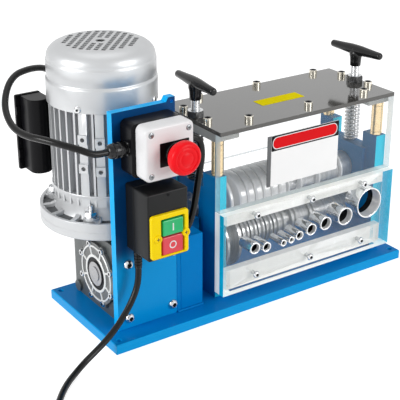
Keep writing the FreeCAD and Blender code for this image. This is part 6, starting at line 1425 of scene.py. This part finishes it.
@dataclass
class PressureGear:
    """The lifting screws with their T handles, and the pressure springs."""

    left_x: float = -53.0
    right_x: float = 200.0
    shaft_y: float = 5.0
    screw_low: float = 137.0
    screw_high: float = 262.0
    screw_radius: float = 5.5
    thread_pitch: float = 1.75
    thread_depth: float = 0.75
    bar_z: float = 273.0
    handle_turn: float = 4.0
    spring_low: float = 150.0
    spring_high: float = 216.0
    spring_radius: float = 8.7
    wire_radius: float = 1.5
    spring_turns: float = 13.0
    closed_rise: float = 2.6
    turn_steps: int = 24

    def build(self) -> None:
        """Builds the left and the right side."""
        # The left spring takes the dark copy of the steel: painted shade.
        for name, x, turn, steel in (("left", self.left_x, -self.handle_turn, SHADED_SPRING_STEEL),
                                     ("right", self.right_x, self.handle_turn, SPRING_STEEL)):
            self.screw(name, x)
            self.handle(name, x, turn)
            self.spring(name, x, steel)

    def screw(self, name: str, x: float) -> None:
        """A zinc plated screw with a real thread."""
        steps, length = self.turn_steps, self.screw_high - self.screw_low
        count = int(length / self.thread_pitch * 4)
        rings = []
        for number in range(count + 1):
            z = self.screw_low + length * number / count
            ring = []
            for step in range(steps):
                part = (z / self.thread_pitch - step / steps) % 1.0
                reach = self.screw_radius - self.thread_depth * abs(2 * part - 1)
                angle = math.tau * step / steps
                ring.append(Vector((x + reach * math.cos(angle), self.shaft_y + reach * math.sin(angle), z)))
            rings.append(ring)
        Piece(f"{name}_threaded_rod", ZINC, (f"{name}_lift_screw",), crease=80, body=f"{name}_screw").settle(
            Shape().skin(rings))

    def handle(self, name: str, x: float, turn: float) -> None:
        """A moulded T handle: a boss that flares into a tapered bar."""
        foot, centre = (x, self.shaft_y, 0), (x, self.shaft_y, self.bar_z)
        boss = [(0, 252), (6.4, 252), (7, 252.6), (7.2, 258), (7.6, 263), (8.5, 267), (8.3, 270), (6.2, 273),
                (0, 273)]
        half = [(0, 44), (2.4, 43.9), (3.6, 43.3), (4.4, 42.2), (4.7, 40.6), (5.3, 28), (6.1, 16), (6.6, 8.5)]
        bar = [(radius, -along) for radius, along in half] + [(6.7, 0)] + half[::-1]
        shape = Shape().lathe(Axis.Z, foot, boss).lathe(Axis.Y, centre, bar, 40)
        shape.lathe(Axis.X, centre, [(0, -6.9), (2.2, -6.9), (2.6, -6.4), (2.6, 6.4), (2.2, 6.9),
                                     (0, 6.9)], 32)
        shape.turn(foot, turn)
        body = f"{name}_screw"
        Piece(f"{name}_tee_handle", GLOSSY_BLACK, (f"{name}_handle",), crease=45, body=body).settle(shape)

    def spring(self, name: str, x: float, steel: Finish) -> None:
        """A compression spring with closed ends, between block and bar."""
        low, closed = self.spring_low + self.wire_radius, self.closed_rise
        length = self.spring_high - self.wire_radius - low
        points = []
        for step in range(int(self.spring_turns * self.turn_steps) + 1):
            turns = step / self.turn_steps
            left = self.spring_turns - turns
            open_part = min(max((turns - 1) / (self.spring_turns - 2), 0), 1)
            rise = closed * min(turns, 1) + (length - 2 * closed) * open_part + closed * (1 - min(left, 1))
            angle = math.tau * turns
            points.append(Vector((x + self.spring_radius * math.cos(angle),
                                  self.shaft_y + self.spring_radius * math.sin(angle), low + rise)))
        piece = Piece(f"{name}_coil_spring", steel, ("pressure_springs",), crease=60)
        item = piece.shade(Shape().tube(points, self.wire_radius).item(piece.name))
        x, y, foot, head = (value * MM for value in (x, self.shaft_y, self.spring_low, self.spring_high))
        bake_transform(item)


@dataclass
class Rollers:
    """The knives above and the grooved rollers below, with their shafts."""

    disc_edge: float = 0.5
    shaft_edge: float = 0.4
    coupling_edge: float = 0.8

    def build(self) -> None:
        """Softens the turned parts."""
        for name, body, finish, node, edge in (
                ("knife_discs", "upper_roller", BRIGHTENED_KNIFE, "cutting_discs", self.disc_edge),
                ("knife_shaft", "upper_roller", STEEL_UPPER, "upper_shaft", self.shaft_edge),
                ("grooved_rollers", "lower_roller", STEEL_X, "feed_rollers", self.disc_edge),
                ("drive_shaft", "lower_roller", STEEL_X, "roller_shaft", self.shaft_edge),
                ("drive_coupling", "lower_roller", STEEL_X, "shaft_coupling", self.coupling_edge)):
            Piece(name, finish, (node,), edge, body=body).soften()


@dataclass
class Carried:
    """The carried-over nodes that keep their own shape, and what each wears."""

    nodes: tuple[tuple[str, Finish], ...] = (
        ("output_seals", BLACK), ("shaft_bearings", STEEL_X), ("upper_bearings", STEEL_UPPER),
        ("stator", MOTOR_STEEL), ("motor_rotor", MOTOR_STEEL), ("fan", BLACK), ("worm_wheel", MOTOR_STEEL))

    def build(self) -> None:
        """Gives every carried-over node its finish."""
        for name, finish in self.nodes:
            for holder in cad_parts[name].material_slots:
                holder.link = "OBJECT"
                holder.material = finish.material()
        LOG.info("dressed %d nodes", len(self.nodes))


@dataclass
class Studio:
    """The pale floor, the lamps, the surroundings and the camera."""

    camera_place: Place = (-0.73, -1.0027, 0.6543)
    camera_tilt: float = 66.288
    camera_turn: float = -34.157
    focal_length: float = 96.225
    film_width: float = 36.0
    floor_half: float = 6.0
    floor_drop: float = 0.0003
    floor_light: float = 0.68
    world_light: float = 0.4
    lamps: tuple[tuple[str, Place, Place, float, float], ...] = (
        ("key softbox", (1, -2.15, 1), (0, 0, 0.12), 1.2, 30),
        ("left softbox", (-2.2, 0.1, 0.9), (-0.1, 0, 0.12), 1, 30),
        ("overhead softbox", (0.2, 0.5, 2.4), (0, 0, 0.1), 1.6, 5))

    def build(self) -> None:
        """Sets up everything round the machine."""
        self.camera()
        self.floor()
        self.surroundings()
        for lamp in self.lamps:
            self.lamp(*lamp)
        LOG.info("studio ready")

    def camera(self) -> None:
        """Puts the camera where the photograph was taken."""
        data = bpy.data.cameras.new("camera")
        data.sensor_fit = "HORIZONTAL"
        data.sensor_width = self.film_width
        data.lens = self.focal_length
        data.clip_start = 0.01
        item = stand("camera", data)
        item.location = self.camera_place
        item.rotation_euler = Euler((math.radians(self.camera_tilt), 0, math.radians(self.camera_turn)))
        bpy.context.scene.camera = item

    def lamp(self, name: str, place: Place, target: Place, size: float, power: float) -> None:
        """Adds a square softbox.

        Args:
            name: its name.
            place: where it stands, in metres.
            target: what it looks at.
            size: the length of a side, in metres.
            power: in watts.
        """
        data = bpy.data.lights.new(name, "AREA")
        data.shape = "SQUARE"
        data.size = size
        data.energy = power
        item = stand(name, data)
        item.location = place
        item.rotation_euler = (Vector(target) - Vector(place)).to_track_quat("-Z", "Y").to_euler()

    def floor(self) -> None:
        """A wide pale sheet that keeps the machine's shadow."""
        grid = bmesh.new()
        bmesh.ops.create_grid(grid, x_segments=4, y_segments=4, size=self.floor_half)
        data = bpy.data.meshes.new("floor")
        grid.to_mesh(data)
        grid.free()
        item = stand("floor", data)
        item.location.z = -self.floor_drop
        pale = bpy.data.materials.new("pale floor")
        pale.use_nodes = True
        wiring = Wiring(pale.node_tree)
        wiring.fill(pale.node_tree.nodes["Principled BSDF"], Base_Color=(0.8, 0.8, 0.8, 1), Roughness=0.9,
                    Specular_IOR_Level=0, Emission_Color=PURE_WHITE,
                    Emission_Strength=wiring.math("MULTIPLY", self.seen(wiring), self.floor_light))
        data.materials.append(pale)

    def seen(self, wiring: Wiring) -> Socket:
        """One for rays from the camera, off metal or through glass, else zero."""
        path = wiring.add("ShaderNodeLightPath").outputs
        straight = wiring.math("MAXIMUM", path["Is Camera Ray"], path["Is Glossy Ray"])
        return wiring.math("MAXIMUM", straight, path["Is Transmission Ray"])

    def surroundings(self) -> None:
        """A white backdrop for the camera and a plain level of light for the rest."""
        world = bpy.data.worlds.new("surroundings")
        bpy.context.scene.world = world
        world.use_nodes = True
        wiring = Wiring(world.node_tree)
        lit = wiring.fill(world.node_tree.nodes["Background"], Color=PURE_WHITE, Strength=self.world_light)
        white = wiring.add("ShaderNodeBackground", {"Color": PURE_WHITE, "Strength": 1.0})
        feeds = {0: self.seen(wiring), 1: lit.outputs[0], 2: white.outputs[0]}
        mix = wiring.add("ShaderNodeMixShader", feeds)
        wiring.fill(world.node_tree.nodes["World Output"], Surface=mix.outputs[0])
        bpy.context.scene.view_settings.view_transform = "Standard"


def main() -> None:
    """Builds the machine's looks piece by piece."""
    logging.basicConfig(level=logging.INFO, format="%(name)s: %(message)s")
    parts = (Studio, Leads, ControlBoxes, DriveUnit, RollerFrame, PressureGear, Rollers, Carried)
    for part in parts:
        part().build()


if __name__ == "__main__":
    main()
